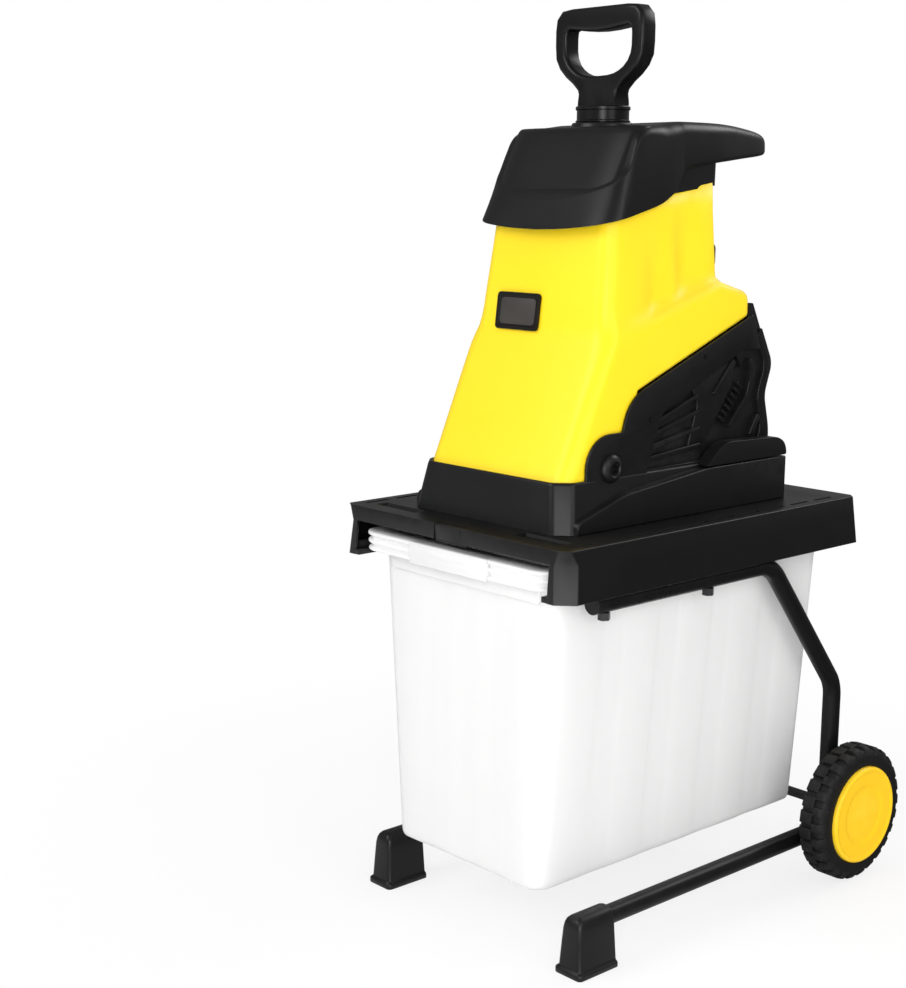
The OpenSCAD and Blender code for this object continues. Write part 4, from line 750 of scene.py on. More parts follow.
def plate_outline(half_x, half_z, y, radius):
    corners = [(-half_x, y, -half_z), (half_x, y, -half_z), (half_x, y, half_z), (-half_x, y, half_z)]
    return rounded(corners, [radius] * 4, 6)

plate = bmesh.new()
tops = slab(plate, plate_outline(half_x=34, half_z=21, y=0, radius=4.8), (0, -PLATE_THICK, 0))
face = next(f for f in plate.faces if all(v in tops for v in f.verts))
bmesh.ops.inset_region(plate, faces=[face], thickness=RIM_WIDE)
bmesh.ops.inset_region(plate, faces=[face], thickness=RIM_HIGH, depth=-RIM_HIGH)
field = bmesh.new()
slab(field, plate_outline(half_x=28, half_z=15, y=-1.9, radius=5), (0, -0.4, 0))
for form, edge in ((plate, 0.45), (field, 0.3)):
    soften(form, edge, segments=2, angle=25)
    bmesh.ops.transform(form, verts=form.verts, matrix=on_front)
join_piece(plate, "bare_plate", badge_plastic, "hopper", ["badge_plate"])
# The plate's middle is a thin piece whose paler colour paints the sheen of a glossy reflection.
join_piece(field, "plate_painted_sheen", painted_sheen_plastic, "hopper")

# %% [markdown]
# The base is a tub on the deck, with its front corners cut off, and a panel on each side. The panel
# carries the hinge ear, runs up along the hopper's parting line and leaves a window over the motor. A
# shelf stands out beside it and ends in a thick block at the rear. The tub narrows upwards, so it is a
# stack of outlines. The flat forms are outlines in side view, extruded across the machine.

# %% Base housing
TUB_HALF, TUB_FRONT, TUB_REAR, TUB_CORNER = 127, -239, 135, 17
SIDE_LEAN, FRONT_SLOPE = 10, 9
# Each row is an outline: its share of the way up, how far inwards, and its height.
TUB_ROWS = [(0, 3.5, 482.1), (0, 0, 482.1), (0.06, 0, 485.5), (0.94, 0, 533), (0.985, 0.2, 535.2),
    (1, 1.0, 536), (1, 3, 536), (0.98, 3.6, 534), (0, 3.5, 482.1)]
PANEL = [(-194, 524, 0), (-194, 584, 37.5), (-137, 584, 3), (-134, 597, 8), (-125, 615, 10), (-110, 626.4, 9),
    (82, 702, 3), (97, 660, 3), (68, 663, 5), (-75, 599, 10), (-100, 524, 0)]
SHELF = [(-221, 482.1, 0), (135, 482.1, 0), (135, 533, 2), (-8, 533, 6), (-148, 518, 12), (-221, 495, 6)]
BLOCK = [(-10, 534.6, 2), (135, 534.6, 2), (135, 545, 8), (122, 557, 10), (16, 560, 16)]
PANEL_X, PANEL_THICK, SHELF_X, SHELF_OUT = 113.6, 3.4, 115, 17


def tub_ring(share, inset, z):
    half = TUB_HALF - SIDE_LEAN * share - inset
    front = TUB_FRONT + FRONT_SLOPE * share + inset
    corner = [(half - TUB_CORNER, front, z, 4), (half, front + TUB_CORNER, z, 4)]
    return around(corner + [(half, TUB_REAR - inset, z, 12)])

base = bmesh.new()
skin_over(base, [tub_ring(*row) for row in TUB_ROWS], cap_first=False, cap_last=False)
sides = bmesh.new()
panel = bmesh.new()
slab(panel, side_view(PANEL, PANEL_X, segments=8), (PANEL_THICK, 0, 0))
soften(panel, 0.9, segments=2, angle=40)
add_mesh(sides, panel)
for profile, edge in ((SHELF, 2.4), (BLOCK, 3.4)):
    form = bmesh.new()
    slab(form, side_view(profile, SHELF_X), (SHELF_OUT, 0, 0))
    soften(form, edge, angle=35, where=lambda e: least(e, X) > SHELF_X + 5)
    add_mesh(sides, form)
mirrored(sides)
add_mesh(base, sides)
join_piece(base, "base_moulding", black_plastic, "chassis", ["base_housing"], crisp=50)

# %% [markdown]
# The deck is a shallow upturned tray. Outlines are bridged from the rim of the chute hole over the
# top, down the outside, round the lower edge and back up the inside, so one closed strip is the
# whole wall. The front corners are cut wide below and run out to a narrow edge at the top.

# %% Deck tray
DECK_TOP, DECK_UNDER, OPENING_TOP, DECK_LOW = 482, 478, 465, 425
TOP_HALF, TOP_FRONT, TOP_REAR = 181.5, -289, 212
WALL_BACK = -285.3


def deck_ring(z, half, front, rear, across, along, back):
    """Outline of the tray; front corners are cut by across and along, rear corners by back."""
    right = [(half - across, front), (half, front + along), (half, rear - back), (half - back, rear)]
    return [Vector((x, y, z)) for x, y in right] + [Vector((-x, y, z)) for x, y in reversed(right)]

deck = bmesh.new()
hole_top, hole_low = [deck_ring(z, half=96, front=-212, rear=-107, across=4, along=4, back=4)
    for z in (DECK_TOP, DECK_UNDER)]
skin_over(deck, [hole_top,
    deck_ring(DECK_TOP, TOP_HALF, TOP_FRONT, TOP_REAR, 12, 7, 8),
    deck_ring(OPENING_TOP, 183, -290.5, 213.5, 19, 19, 8),
    deck_ring(DECK_LOW, 186.5, -294, 217, 19, 19, 8),
    deck_ring(DECK_LOW, 182.5, -290, 213, 17.4, 17.4, 7),
    deck_ring(DECK_UNDER, 177.8, WALL_BACK, 208.3, 15, 15, 7),
    hole_low, hole_top], cap_first=False, cap_last=False)
bmesh.ops.remove_doubles(deck, verts=deck.verts, dist=SAME_PLACE)
print("tray has", len(deck.faces), "faces")

# %% [markdown]
# Two openings are cut into the front wall: a wide one that shows the rim of the box, and a notch
# for the lock slide. Planes split the wall along the edges of each opening, the faces inside are
# deleted, and each side of the cut is closed with a flat face. A boolean would leave long slivers
# here, and the bevel that follows needs clean edges.

# %% Openings in the deck's front
OPENING_HALF, NOTCH_HALF, NOTCH_BACK = 158, 21.8, -279.7
BEHIND_WALL = -275
SLACK = 0.1
SNAP = 0.01


def cap_cut(bm, axis, at, inside):
    """Closes one flat side of a cut with a face through its open corners."""
    marks = [v for v in bm.verts if v.is_boundary and abs(v.co[axis] - at) < 2 * SNAP and inside(v.co)]
    a, b = [i for i in range(3) if i != axis]
    mid = sum((v.co for v in marks), Vector()) / len(marks)
    bm.faces.new(sorted(marks, key=lambda v: atan2(v.co[b] - mid[b], v.co[a] - mid[a])))


def cut_away(c):
    """Whether a face with this centre lies in the wide opening or in the notch."""
    if c.z < OPENING_TOP - SLACK:
        return c.y < BEHIND_WALL and abs(c.x) < OPENING_HALF
    return c.y < NOTCH_BACK and abs(c.x) < NOTCH_HALF

for axis, at in ((Z, OPENING_TOP), (X, OPENING_HALF), (X, -OPENING_HALF), (X, NOTCH_HALF), (X, -NOTCH_HALF),
        (Y, NOTCH_BACK), (Y, WALL_BACK)):
    split(deck, axis, at, SNAP)
gone = [f for f in deck.faces if cut_away(f.calc_center_median())]
bmesh.ops.delete(deck, geom=gone, context="FACES")
for side in (-1, 1):
    cap_cut(deck, Z, OPENING_TOP,
        lambda c: c.y < BEHIND_WALL and NOTCH_HALF - SLACK < side * c.x < OPENING_HALF + SLACK)
    cap_cut(deck, X, side * OPENING_HALF, lambda c: c.y < BEHIND_WALL and c.z < OPENING_TOP + SLACK)
    cap_cut(deck, X, side * NOTCH_HALF, lambda c: c.y < WALL_BACK + SLACK)
    cap_cut(deck, X, side * NOTCH_HALF, lambda c: WALL_BACK - SLACK < c.y < NOTCH_BACK + SLACK)
cap_cut(deck, Y, NOTCH_BACK, lambda c: abs(c.x) < NOTCH_HALF + SLACK)
print("openings cut,", len(gone), "faces taken out")

# %% Soft edges of the deck
WALL_LEAN = 5 / 57


def on_skin(v):
    """Whether the point is on the tray's outside, which leans outwards on its way down."""
    out = WALL_LEAN * (DECK_TOP - v.co.z) - SLACK
    return abs(v.co.x) > TOP_HALF + out or v.co.y < TOP_FRONT - out or v.co.y > TOP_REAR + out


def beside_slide(v):
    return abs(v.co.x) < NOTCH_HALF + SLACK and v.co.y < 0

count = soften(deck, 2.2, angle=24, where=lambda e: all(on_skin(v) for v in e.verts)
    and not all(beside_slide(v) for v in e.verts))
print("deck edges rounded:", count)

# %% [markdown]
# A row of shallow slots runs along each side of the top, and a longer pocket lies in each front
# corner. A bump would look flat from low down, so the top is split along their edges, and an inset
# with a small depth sinks them. Below, two rails line each side, and a small hook ends each side of
# the wide opening.

# %% Slots, rails and hooks of the deck
SLOT_COUNT, SLOT_STEP, SLOT_LONG, SLOT_START = 10, 46, 34, -268.5
RAIL_LOW, RAIL_FRONT, RAIL_REAR, RAIL_CORNER = 425.2, -285, 208, 456


def deck_top(bm, side):
    """Faces of the deck's top on one side of the machine."""
    tops = []
    for face in bm.faces:
        c = face.calc_center_median()
        if face.normal.z > 0.99 and c.z > DECK_TOP - SLACK and side * c.x > 0:
            tops.append(face)
    return tops


def sink(bm, x0, x1, y0, y1, lip, depth):
    """Sinks the rectangle in the deck's top, and its mirror image."""
    bm.normal_update()
    for side in (-1, 1):
        for axis, at in ((X, side * x0), (X, side * x1), (Y, y0), (Y, y1)):
            split(bm, axis, at, SNAP, deck_top(bm, side))
        inner = []
        for face in deck_top(bm, side):
            c = face.calc_center_median()
            if x0 < side * c.x < x1 and y0 < c.y < y1:
                inner.append(face)
        bmesh.ops.inset_region(bm, faces=inner, thickness=lip, depth=-depth, use_even_offset=True)

for i in range(SLOT_COUNT):
    start = SLOT_START + SLOT_STEP * i
    sink(deck, x0=164.5, x1=169.5, y0=start, y1=start + SLOT_LONG, lip=0.6, depth=2.0)
sink(deck, x0=82, x1=152, y0=-266, y1=-249, lip=2.2, depth=3.0)
under = bmesh.new()
for x0, x1, top in ((150.5, 184.5, 432), (159.5, 182.5, 440)):
    rail = bmesh.new()
    plan = [(x0, RAIL_FRONT), (RAIL_CORNER + RAIL_FRONT, RAIL_FRONT), (x1, x1 - RAIL_CORNER),
        (x1, RAIL_REAR), (x0, RAIL_REAR)]
    slab(rail, [(x, y, RAIL_LOW) for x, y in plan], (0, 0, top - RAIL_LOW))
    soften(rail, 0.8, segments=2)
    add_mesh(under, rail)
add_mesh(under, brick((150.5, -293.4, RAIL_LOW), (159, -284, 431.8), 0.8))
mirrored(under)
add_mesh(deck, under)
join_piece(deck, "deck_moulding", black_plastic, "chassis", ["deck"], crisp=40)

# %% [markdown]
# The lock slide fills the notch flush with the apron. A wider flange behind the wall keeps it in.
# Both are plain blocks on the real one too, so two soft bricks are enough.

# %% Lock slide
slide = brick((-21, -289.2, 465.2), (21, -280.1, 481.8), 1.3)
add_mesh(slide, brick((-25.4, -283.4, 460.2), (25.4, -280.1, 469.8), 0.5))
join_piece(slide, "slide_block", black_plastic, "lock_slide", ["lock_slide"])

# %% [markdown]
# The collection box is a stack of rounded outlines. Four faint flutes stiffen each side and a wide
# sunk field the front. Both fade out below the rim, which is rolled into three ridges and stands
# further out at the front. A Solidify would thicken the ridges too, so the stack itself goes on over
# the top edge and down the inside. A lip under the rim and a flap in its middle finish the front.

# %% Collection box
BOX_LOW, BOX_HEIGHT, BOX_MIDDLE_Y = 83, 372, -33
FOOT_HALF, FOOT_SPREAD, BOX_FRONT, BOX_REAR = 121, 26, -264, 198
FLUTE_DEPTH, FLUTE_STEP, BOX_WALL, RIM_FORE = 0.8, 92, 3, 17
FLUTE = [(-23, 0), (-20, 0.35), (-16.5, 0.85), (-12, 1), (12, 1), (16.5, 0.85), (20, 0.35), (23, 0)]


def box_ring(z, out=0.0, share=0.0, radius=22.0, fore=0.0):
    """One outline; out moves it outwards, share is how much of the flutes shows."""
    half = FOOT_HALF + FOOT_SPREAD * (z - BOX_LOW) / BOX_HEIGHT + out
    front, rear = BOX_FRONT - out - fore, BOX_REAR + out
    side = [(62, front + 1.6 * share, z, 0), (72, front + 0.8 * share, z, 0), (80, front, z, 0),
        (half, front, z, radius)]
    for k in range(4):
        centre = BOX_MIDDLE_Y + (k - 1.5) * FLUTE_STEP
        side += [(half - FLUTE_DEPTH * share * s, centre + y * (0.7 + 0.3 * share), z, 0) for y, s in FLUTE]
    return around(side + [(half, rear, z, radius)], 7)

BOX_FOOT = [(83, -9, 0.6, 16), (83.6, -5, 0.8, 18), (85.6, -1.8, 1, 20), (89, -0.3, 1, 21.6)]
BOX_SIDE = [(94, 1), (220, 1), (358, 1), (372, 0.9), (386, 0.62), (397, 0.25), (404.5, 0)]
BOX_INSIDE = [(404.5, 0), (386, 0.62), (358, 1), (94, 1), (88, 0.9)]
RIM = [(0, 432.5), (7.2, 432.9), (8, 433.8), (8, 435.6), (7.2, 436.6), (4.5, 437.6),
    (4.5, 440.4), (7.2, 441.4), (8, 442.4), (8, 444.6), (7.2, 445.6), (4.5, 446.6),
    (4.5, 449.4), (7.2, 450.4), (8, 451.4), (8, 453.6), (7.2, 454.6), (5.5, 455), (-2, 455), (-3, 454)]
stack = [box_ring(*row) for row in BOX_FOOT]
stack += [box_ring(z, 0, share) for z, share in BOX_SIDE]
stack += [box_ring(z, out, 0, 22 + max(out, 0) / 2, RIM_FORE if out > 0 else 0) for out, z in RIM]
stack += [box_ring(z, -BOX_WALL, share, 19) for z, share in BOX_INSIDE]
stack.append(box_ring(86, -8, 0.6, 15))
box = bmesh.new()
skin_over(box, stack)
print("box shell has", len(box.faces), "faces")

# %% Lip and flap of the box
LIP = [(-121, 412.5, 3), (121, 412.5, 3), (122.5, 436, 0), (-122.5, 436, 0)]
FLAP = [(-64, 430.6, 3), (64, 430.6, 3), (64, 455.3, 3), (-64, 455.3, 3)]
for outline, y, deep, edge, segments in ((LIP, -268, 5, 1.2, 2), (FLAP, -290.4, 10, 1.4, 3)):
    form = bmesh.new()
    slab(form, rounded([(x, y, z) for x, z, r in outline], [r for x, z, r in outline], 4), (0, deep, 0))
    soften(form, edge, segments)
    add_mesh(box, form)
join_piece(box, "box_shell", box_plastic, "box", ["collection_box"], crisp=50)

# %% [markdown]
# Each side frame is one bent tube. A curve with a bevel would do, but its bends are only as true as
# its handles. Here a circle is extruded along the straight runs and spun round the bends, which is
# how a tube bender works too: the wall turns about the centre of the former.

# %% Side frames
HANDS = ((-1, "left"), (1, "right"))
FRAME_X, TUBE_RADIUS, BEND_STEPS = 162, 11, 9
# Each row is a corner of the route: y, z and the radius of the bend there.
ROUTE = [(-229, 414, 0), (72, 414, 45), (209, 242, 45), (209, 54, 24), (-243.9, 54, 0)]


def bent_tube(bm, route, radius, sides=24):
    """Pulls a circle along the route, a list of points and bend radii."""
    here = route[0][0]
    heading = (route[1][0] - here).normalized()
    start = Matrix.Translation(here) @ heading.to_track_quat("Z", "X").to_matrix().to_4x4()
    ring = bmesh.ops.create_circle(bm, cap_ends=True, segments=sides, radius=radius, matrix=start)["verts"]
    edges = once(e for v in ring for e in v.link_edges)
    for i, (corner, bend) in enumerate(route[1:], 1):
        onward = (route[i + 1][0] - corner).normalized() if i + 1 < len(route) else heading
        cut = bend * tan(heading.angle(onward) / 2)
        bend_start = corner - heading * cut
        grown = bmesh.ops.extrude_edge_only(bm, edges=edges)["geom"]
        verts = verts_in(grown)
        edges = [e for e in edges_in(grown) if all(v in verts for v in e.verts)]
        bmesh.ops.translate(bm, verts=verts, vec=bend_start - here)
        if cut:
            axis = heading.cross(onward).normalized()
            former = bend_start + axis.cross(heading) * bend
            turned = bmesh.ops.spin(bm, geom=verts + edges, cent=former, axis=axis,
                angle=heading.angle(onward), steps=BEND_STEPS)["geom_last"]
            edges = edges_in(turned)
        here = corner + onward * cut
        heading = onward
    bmesh.ops.contextual_create(bm, geom=edges)

for side, hand in HANDS:
    tube = bmesh.new()
    bent_tube(tube, [(Vector((side * FRAME_X, y, z)), bend) for y, z, bend in ROUTE], TUBE_RADIUS)
    join_piece(tube, "tube_" + hand, black_tube, "chassis", ["side_frame_" + hand])

# %% [markdown]
# A moulded shoe covers the front end of each lower tube. It leans in towards a rounded roof, and a
# flange at the floor widens its footing. The lean changes on the way up, so it is a stack of outlines
# and not one block with a bevel.

# %% Feet
# Each row is an outline: height, half width, y of the front, and radius of the front corners.
SHOE = [(0, 19.6, -256.2, 5), (0.9, 20.5, -257, 6), (5.8, 20.5, -257, 6), (7, 19.7, -256.3, 6),
    (8.2, 17.8, -254.6, 5.5), (10, 17.3, -254.1, 5.5), (40, 15.2, -252.6, 5.5), (53, 14.2, -251.8, 5.5),
    (59, 13.2, -250.8, 5.5), (63.5, 11.2, -249, 5), (66.6, 7.9, -246.4, 4), (68, 3.6, -243, 2)]


SHOE_REAR, REAR_LEAN = -196, 0.02


def shoe_ring(middle, z, half, front, radius):
    left, right, rear = middle - half, middle + half, SHOE_REAR - REAR_LEAN * z
    corners = [(left, front, z), (right, front, z), (right, rear, z), (left, rear, z)]
    return rounded(corners, [radius, radius, 1.5, 1.5], 4)

for side, hand in HANDS:
    shoe = bmesh.new()
    skin_over(shoe, [shoe_ring(side * FRAME_X, *row) for row in SHOE])
    join_piece(shoe, "shoe_" + hand, black_plastic, "chassis", ["foot_" + hand], crisp=60)

# %% [markdown]
# A wheel is moulded in one piece with its tread. The body is a profile spun about the axle: tyre,
# web and hub. One lug of each row is drawn in side view, given its width, and copied round the
# rim by a spin that duplicates. The two rows are half a step apart, so the tread runs in a zigzag.
# A bump could draw the tread, but the outline of the wheel would stay round.

# %% Wheels
AXLE = Vector((0, 209, 85))
LUGS = 26
# Each row is x and the radius there.
TYRE = [(180, 65), (180, 74), (180.8, 77), (182.4, 79.6), (185, 81), (209, 81), (212, 80), (214.4, 76.6),
    (215.6, 72), (216, 67), (216, 62.3), (215.2, 61.5), (210, 61.5), (210, 14), (201.4, 14), (201.4, 6.05),
    (180, 6.05), (180, 16.2), (180.8, 17), (192, 17), (192, 65)]
INNER_LUG = [(180.9, 76), (181.6, 81), (183.2, 84), (184.6, 84.6), (198.4, 84.6), (199.4, 84), (200, 80),
    (198, 79)]
OUTER_LUG = [(199, 79), (199.4, 84), (200.4, 84.7), (208.4, 84.7), (210.6, 83.8), (214.2, 79.4),
    (215.8, 73.6), (213, 73)]


def over_axle(profile, y=0.0):
    """Points over the axle, y behind it."""
    return [(x, AXLE.y + y, AXLE.z + r) for x, r in profile]


def lug_row(bm, outline, width, turn):
    """One lug with the given outline, copied round the wheel."""
    lug = bmesh.new()
    slab(lug, over_axle(outline, -width / 2), (0, width, 0))
    soften(lug, 0.9, segments=2)
    bmesh.ops.rotate(lug, verts=lug.verts, cent=AXLE, matrix=Matrix.Rotation(turn, 3, "X"))
    bmesh.ops.spin(lug, geom=everything(lug), cent=AXLE, axis=(1, 0, 0), angle=2 * pi * (LUGS - 1) / LUGS,
        steps=LUGS - 1, use_duplicate=True)
    add_mesh(bm, lug)

for side, hand in HANDS:
    tyre = bmesh.new()
    spun(tyre, over_axle(TYRE), AXLE, (1, 0, 0), 78)
    lug_row(tyre, INNER_LUG, 14.6, 0)
    lug_row(tyre, OUTER_LUG, 11, pi / LUGS)
    bmesh.ops.scale(tyre, verts=tyre.verts, vec=(side, 1, 1))
    wheel = "wheel_" + hand
    join_piece(tyre, "tyre_" + hand, tyre_plastic, wheel, [wheel], crisp=40)

# %% [markdown]
# The hub cap is a thin disc with a rolled edge that catches a bright ring of light. Inside the ring
# the face falls away slightly, and a shallow round dish marks the middle. It is round all over, so
# one spun profile makes it.

# %% Hub caps
CAP = [(210.3, 0.01), (210.3, 61), (217.4, 61), (219, 60.5), (220.2, 59.4), (220.8, 58), (220.8, 56.8),
    (220.2, 55.6), (219.4, 54.6), (219.1, 53), (218.9, 46), (218.7, 39), (218.3, 37.4), (217.5, 35.8),
    (217.1, 34), (217, 30), (217, 0.01)]
for side, hand in HANDS:
    cap = bmesh.new()
    spun(cap, over_axle(CAP), AXLE, (1, 0, 0), 96)
    bmesh.ops.scale(cap, verts=cap.verts, vec=(side, 1, 1))
    wheel = "wheel_" + hand
    join_piece(cap, "cap_" + hand, hub_plastic, wheel, ["hub_cap_" + hand], crisp=50)

# %% [markdown]
# The hinge bolts have wide domed heads with a hexagon socket. A boolean could punch the socket, but
# a bridge keeps the mesh clean: the head is a stack of circles, the socket is a six-sided pocket
# bridged to the innermost circle, and a countersunk lip leads into it.

# %% Hinge bolts
HINGE_Y, HINGE_Z = -156, 546
SOCKET_X, SOCKET_DEPTH = 122.4, 4
# Each row is x and the radius there.
HEAD = [(117.1, 5), (117.1, 15.6), (117.8, 16), (119.6, 15.6), (121.4, 14), (123, 11.4), (123.9, 8.8),
    (123.3, 8), (SOCKET_X, 7.4)]


def hinge_ring(x, radius, count=36):
    turns = [2 * pi * i / count for i in range(count)]
    return [Vector((x, HINGE_Y + radius * sin(t), HINGE_Z + radius * cos(t))) for t in turns]

bolts = bmesh.new()
loops = skin_over(bolts, [hinge_ring(x, r) for x, r in HEAD], cap_last=False)
pocket = [hinge_ring(x, 6, 6) for x in (SOCKET_X, SOCKET_X - SOCKET_DEPTH)]
mouth = skin_over(bolts, pocket, cap_first=False)[0]
bmesh.ops.bridge_loops(bolts, edges=loops[-1] + mouth)
shank = bmesh.new()
slab(shank, hinge_ring(117.4, 4.95, 24), (-10, 0, 0))
add_mesh(bolts, shank)
mirrored(bolts)
join_piece(bolts, "hinge_heads", black_plastic, "chassis", ["hinge_bolts"], crisp=40)

# %% [markdown]
# The motor cover fills the window. It is a shell with a dark field on each side, and the relief
# stands on that field: a fan of louvre blades from the front edge, a smooth middle plate, two
# slanting struts with a comb of short vents between them, and a rolled edge along the rear. Each
# is a small slab with soft edges, because a bump map would show no depth from the side.

# %% Motor cover shell
SHELL = [(-112, 482.2, 0), (124, 482.2, 0), (124, 566, 8), (113.6, 606, 8), (126.6, 643, 9), (89.6, 715.6, 3),
    (84, 713, 2), (80, 697, 2), (-96, 627, 4), (-112, 606, 4)]
SHELL_HALF, FIELD_X = 108.5, 108
shell = bmesh.new()
skin_over(shell, [side_view(SHELL, x) for x in (-SHELL_HALF, SHELL_HALF)])
count = soften(shell, 2, angle=60, where=lambda e: least(e, Y) > 85 and least(e, Z) > 540)
print("shell edges rounded:", count)
relief = bmesh.new()


def bar(outline, high, edge, segments=4):
    """A raised piece with the outline in side view, standing on the field up to high."""
    form = bmesh.new()
    slab(form, side_view(outline, FIELD_X, segments), (high - FIELD_X, 0, 0))
    soften(form, edge, segments=2, angle=40, where=lambda e: least(e, X) > FIELD_X + SLACK)
    add_mesh(relief, form)


def blade(start, tilt, length, root, tip, radius):
    """Outline of one louvre blade, from its start along the tilt."""
    along, up = Vector((cos(tilt), sin(tilt))), Vector((-sin(tilt), cos(tilt)))
    corners = [start, start + along * length, start + along * length + up * tip, start + up * root]
    return [(y, z, radius) for y, z in corners]

# %% Louvres and middle plate of the cover
LOUVRES, FAN_START, FAN_RUN = 6, Vector((-95, 532)), Vector((25.5, 68))
MIDDLE = [(-24, 556), (4, 558), (30, 590), (52, 622), (56, 652), (8, 636), (-20, 626), (-8, 604)]
for i in range(LOUVRES):
    share = i / (LOUVRES - 1)
    louvre = blade(FAN_START + FAN_RUN * share, tilt=radians(1 + 25 * share), length=92 - 26 * share,
        root=6.6, tip=5, radius=0.8)
    bar(louvre, high=114.6 - 0.4 * share, edge=1.6)
bar([(y, z, 4) for y, z in MIDDLE], high=112.3, edge=1.2)
print("louvres and middle plate,", len(relief.faces), "faces")

# %% Struts, comb and rear edge of the cover
FRONT_STRUT = [(14, 614, 3.5), (22, 612, 3.5), (56, 647, 3), (50, 653, 3)]
REAR_STRUT = [(42, 574, 3.5), (51, 573, 3.5), (84, 606, 10), (92, 634, 8), (84, 652, 3), (77, 650, 3),
    (83, 634, 6), (76, 610, 8)]
STUB = [(84, 560, 3), (92, 559, 3), (106, 580, 3), (99, 585, 3)]
WEDGE = [(54, 661, 1.5), (73, 667, 1.5), (66, 640, 2)]
REAR_EDGE = [(100, 548, 2), (124, 548, 2), (124, 566, 8), (113.8, 606, 8), (126.4, 643, 9), (104, 686, 3),
    (95, 676, 3), (112, 642, 8), (100, 607, 8), (108, 566, 6)]
VENTS, VENT_START, VENT_STEP = 7, Vector((28.5, 586.5)), Vector((5.2, 6.2))
bar(FRONT_STRUT, high=115.4, edge=2.2)
bar(REAR_STRUT, high=115.6, edge=2.2)
bar(STUB, high=114.4, edge=1.8)
for i in range(VENTS):
    vent = blade(VENT_START + VENT_STEP * i, tilt=radians(-38), length=13, root=2.6, tip=2.6, radius=0.5)
    bar(vent, high=113.2, edge=0.6, segments=2)
bar(WEDGE, high=113.4, edge=1.2)
bar(REAR_EDGE, high=112.4, edge=2.4)
mirrored(relief)
add_mesh(shell, relief)
join_piece(shell, "cover_shell", black_plastic, "chassis", ["motor_cover"], crisp=45)

# %% [markdown]
# The controls sit on the tower's rear. The switch box is a wedge whose face holds two push buttons:
# each half of the face is bridged to the rim of a bore, where a boolean would leave slivers. The
# inlet is a cup, skinned in one strip over its rim, and its two pins are a metal piece of their own.

# %% Switch box and inlet
SWITCH_X, SWITCH_Z, BUTTON_OUT = 46, 769, 13
TOWER_BACK, SWITCH_FACE, BORE_RADIUS = 38.1, 60.1, 8.5
INLET_X, PIN_HALF, PIN_OUT = -22, 0.8, 8
# Each row is an outline of the cup: y, half width and corner radius.
CUP = [(TOWER_BACK, 23, 4), (57.2, 23, 4), (57.8, 22.75, 3.8), (58.1, 22.2, 3.4), (58.1, 20.8, 2.4),
    (57.8, 20.2, 2), (57.2, 20, 1.8), (42.1, 20, 1.8)]


def facing_ring(middle_x, y, half_x, half_z, r):
    """Rounded rectangle facing the rear, with a point in the middle of its top and bottom."""
    corners = [(half_x, -half_z), (half_x, half_z), (0, half_z),
        (-half_x, half_z), (-half_x, -half_z), (0, -half_z)]
    return rounded([(middle_x + x, y, SWITCH_Z + z) for x, z in corners], [r, r, 0, r, r, 0], 4)


def bore_ring(x, y, r):
    return [Vector((x + r * sin(pi * i / 12), y, SWITCH_Z + r * cos(pi * i / 12))) for i in range(24)]

switch = bmesh.new()
face = facing_ring(SWITCH_X, SWITCH_FACE, 27.8, 11.4, 3.4)
skin_over(switch, [facing_ring(SWITCH_X, TOWER_BACK, 29, 28, 4), facing_ring(SWITCH_X, 58.9, 29, 12.9, 4),
    facing_ring(SWITCH_X, 59.75, 28.65, 12.2, 3.9), face], cap_last=False)
for side in (-1, 1):
    x = SWITCH_X + BUTTON_OUT * side
    half = [p for p in face if side * (p.x - SWITCH_X) > -0.01]
    half.sort(key=lambda p: atan2(p.z - SWITCH_Z, p.x - x))
    bore = [bore_ring(x, y, r) for y, r in ((SWITCH_FACE, 9.2), (59.4, BORE_RADIUS), (51.6, BORE_RADIUS))]
    skin_over(switch, [half] + bore, cap_first=False)
join_piece(switch, "switch_housing", black_plastic, "hopper", ["switch_box"], crisp=40)
inlet = bmesh.new()
skin_over(inlet, [facing_ring(INLET_X, y, half, half - 6, r) for y, half, r in CUP])
join_piece(inlet, "inlet_housing", black_plastic, "hopper", ["power_inlet"], crisp=40)
pins = bmesh.new()
for x in (INLET_X - PIN_OUT, INLET_X + PIN_OUT):
    add_mesh(pins, brick((x - PIN_HALF, 42, SWITCH_Z - 3), (x + PIN_HALF, 53.1, SWITCH_Z + 3), 0.5))
join_piece(pins, "inlet_pins", zinc_steel, "hopper")

# %% [markdown]
# The push buttons are turned shapes with a domed top, so a profile is spun for each. They are pieces
# of their own, because each one moves with its own body.

# %% Push buttons
# Each row is the radius and y there.
BUTTON = [(0.01, 55.1), (7.6, 55.1), (8, 55.5), (8, 62.4), (7.7, 63.2), (7, 63.8), (5.4, 64.05), (0.01, 64.1)]
PUSHES = ((1, "on", green_plastic, "green_plastic"), (-1, "off", red_plastic, "red_plastic"))
for side, name, finish, slot in PUSHES:
    button = bmesh.new()
    x = SWITCH_X + BUTTON_OUT * side
    spun(button, [(x + r, y, SWITCH_Z) for r, y in BUTTON], (x, 0, SWITCH_Z), (0, 1, 0), 40)
    join_piece(button, name + "_cap", finish, name + "_button", [name + "_button"], crisp=50)

# %% [markdown]
# The locking knob below is a lobed grip on a stem, tilted with the ledge it stands on. The lobes are
# a circle whose radius swells six times on the way round. It is made upright at the origin, where that
# is simple, and then turned and moved to its place.

# %% Locking knob
KNOB_TILT, KNOB_PLACE = 12.907, (0, 62, 730.21)
LOBES, LOBE_MIDDLE, LOBE_SWELL, LOBE_POINTS = 6, 15.7, 2.3, 72
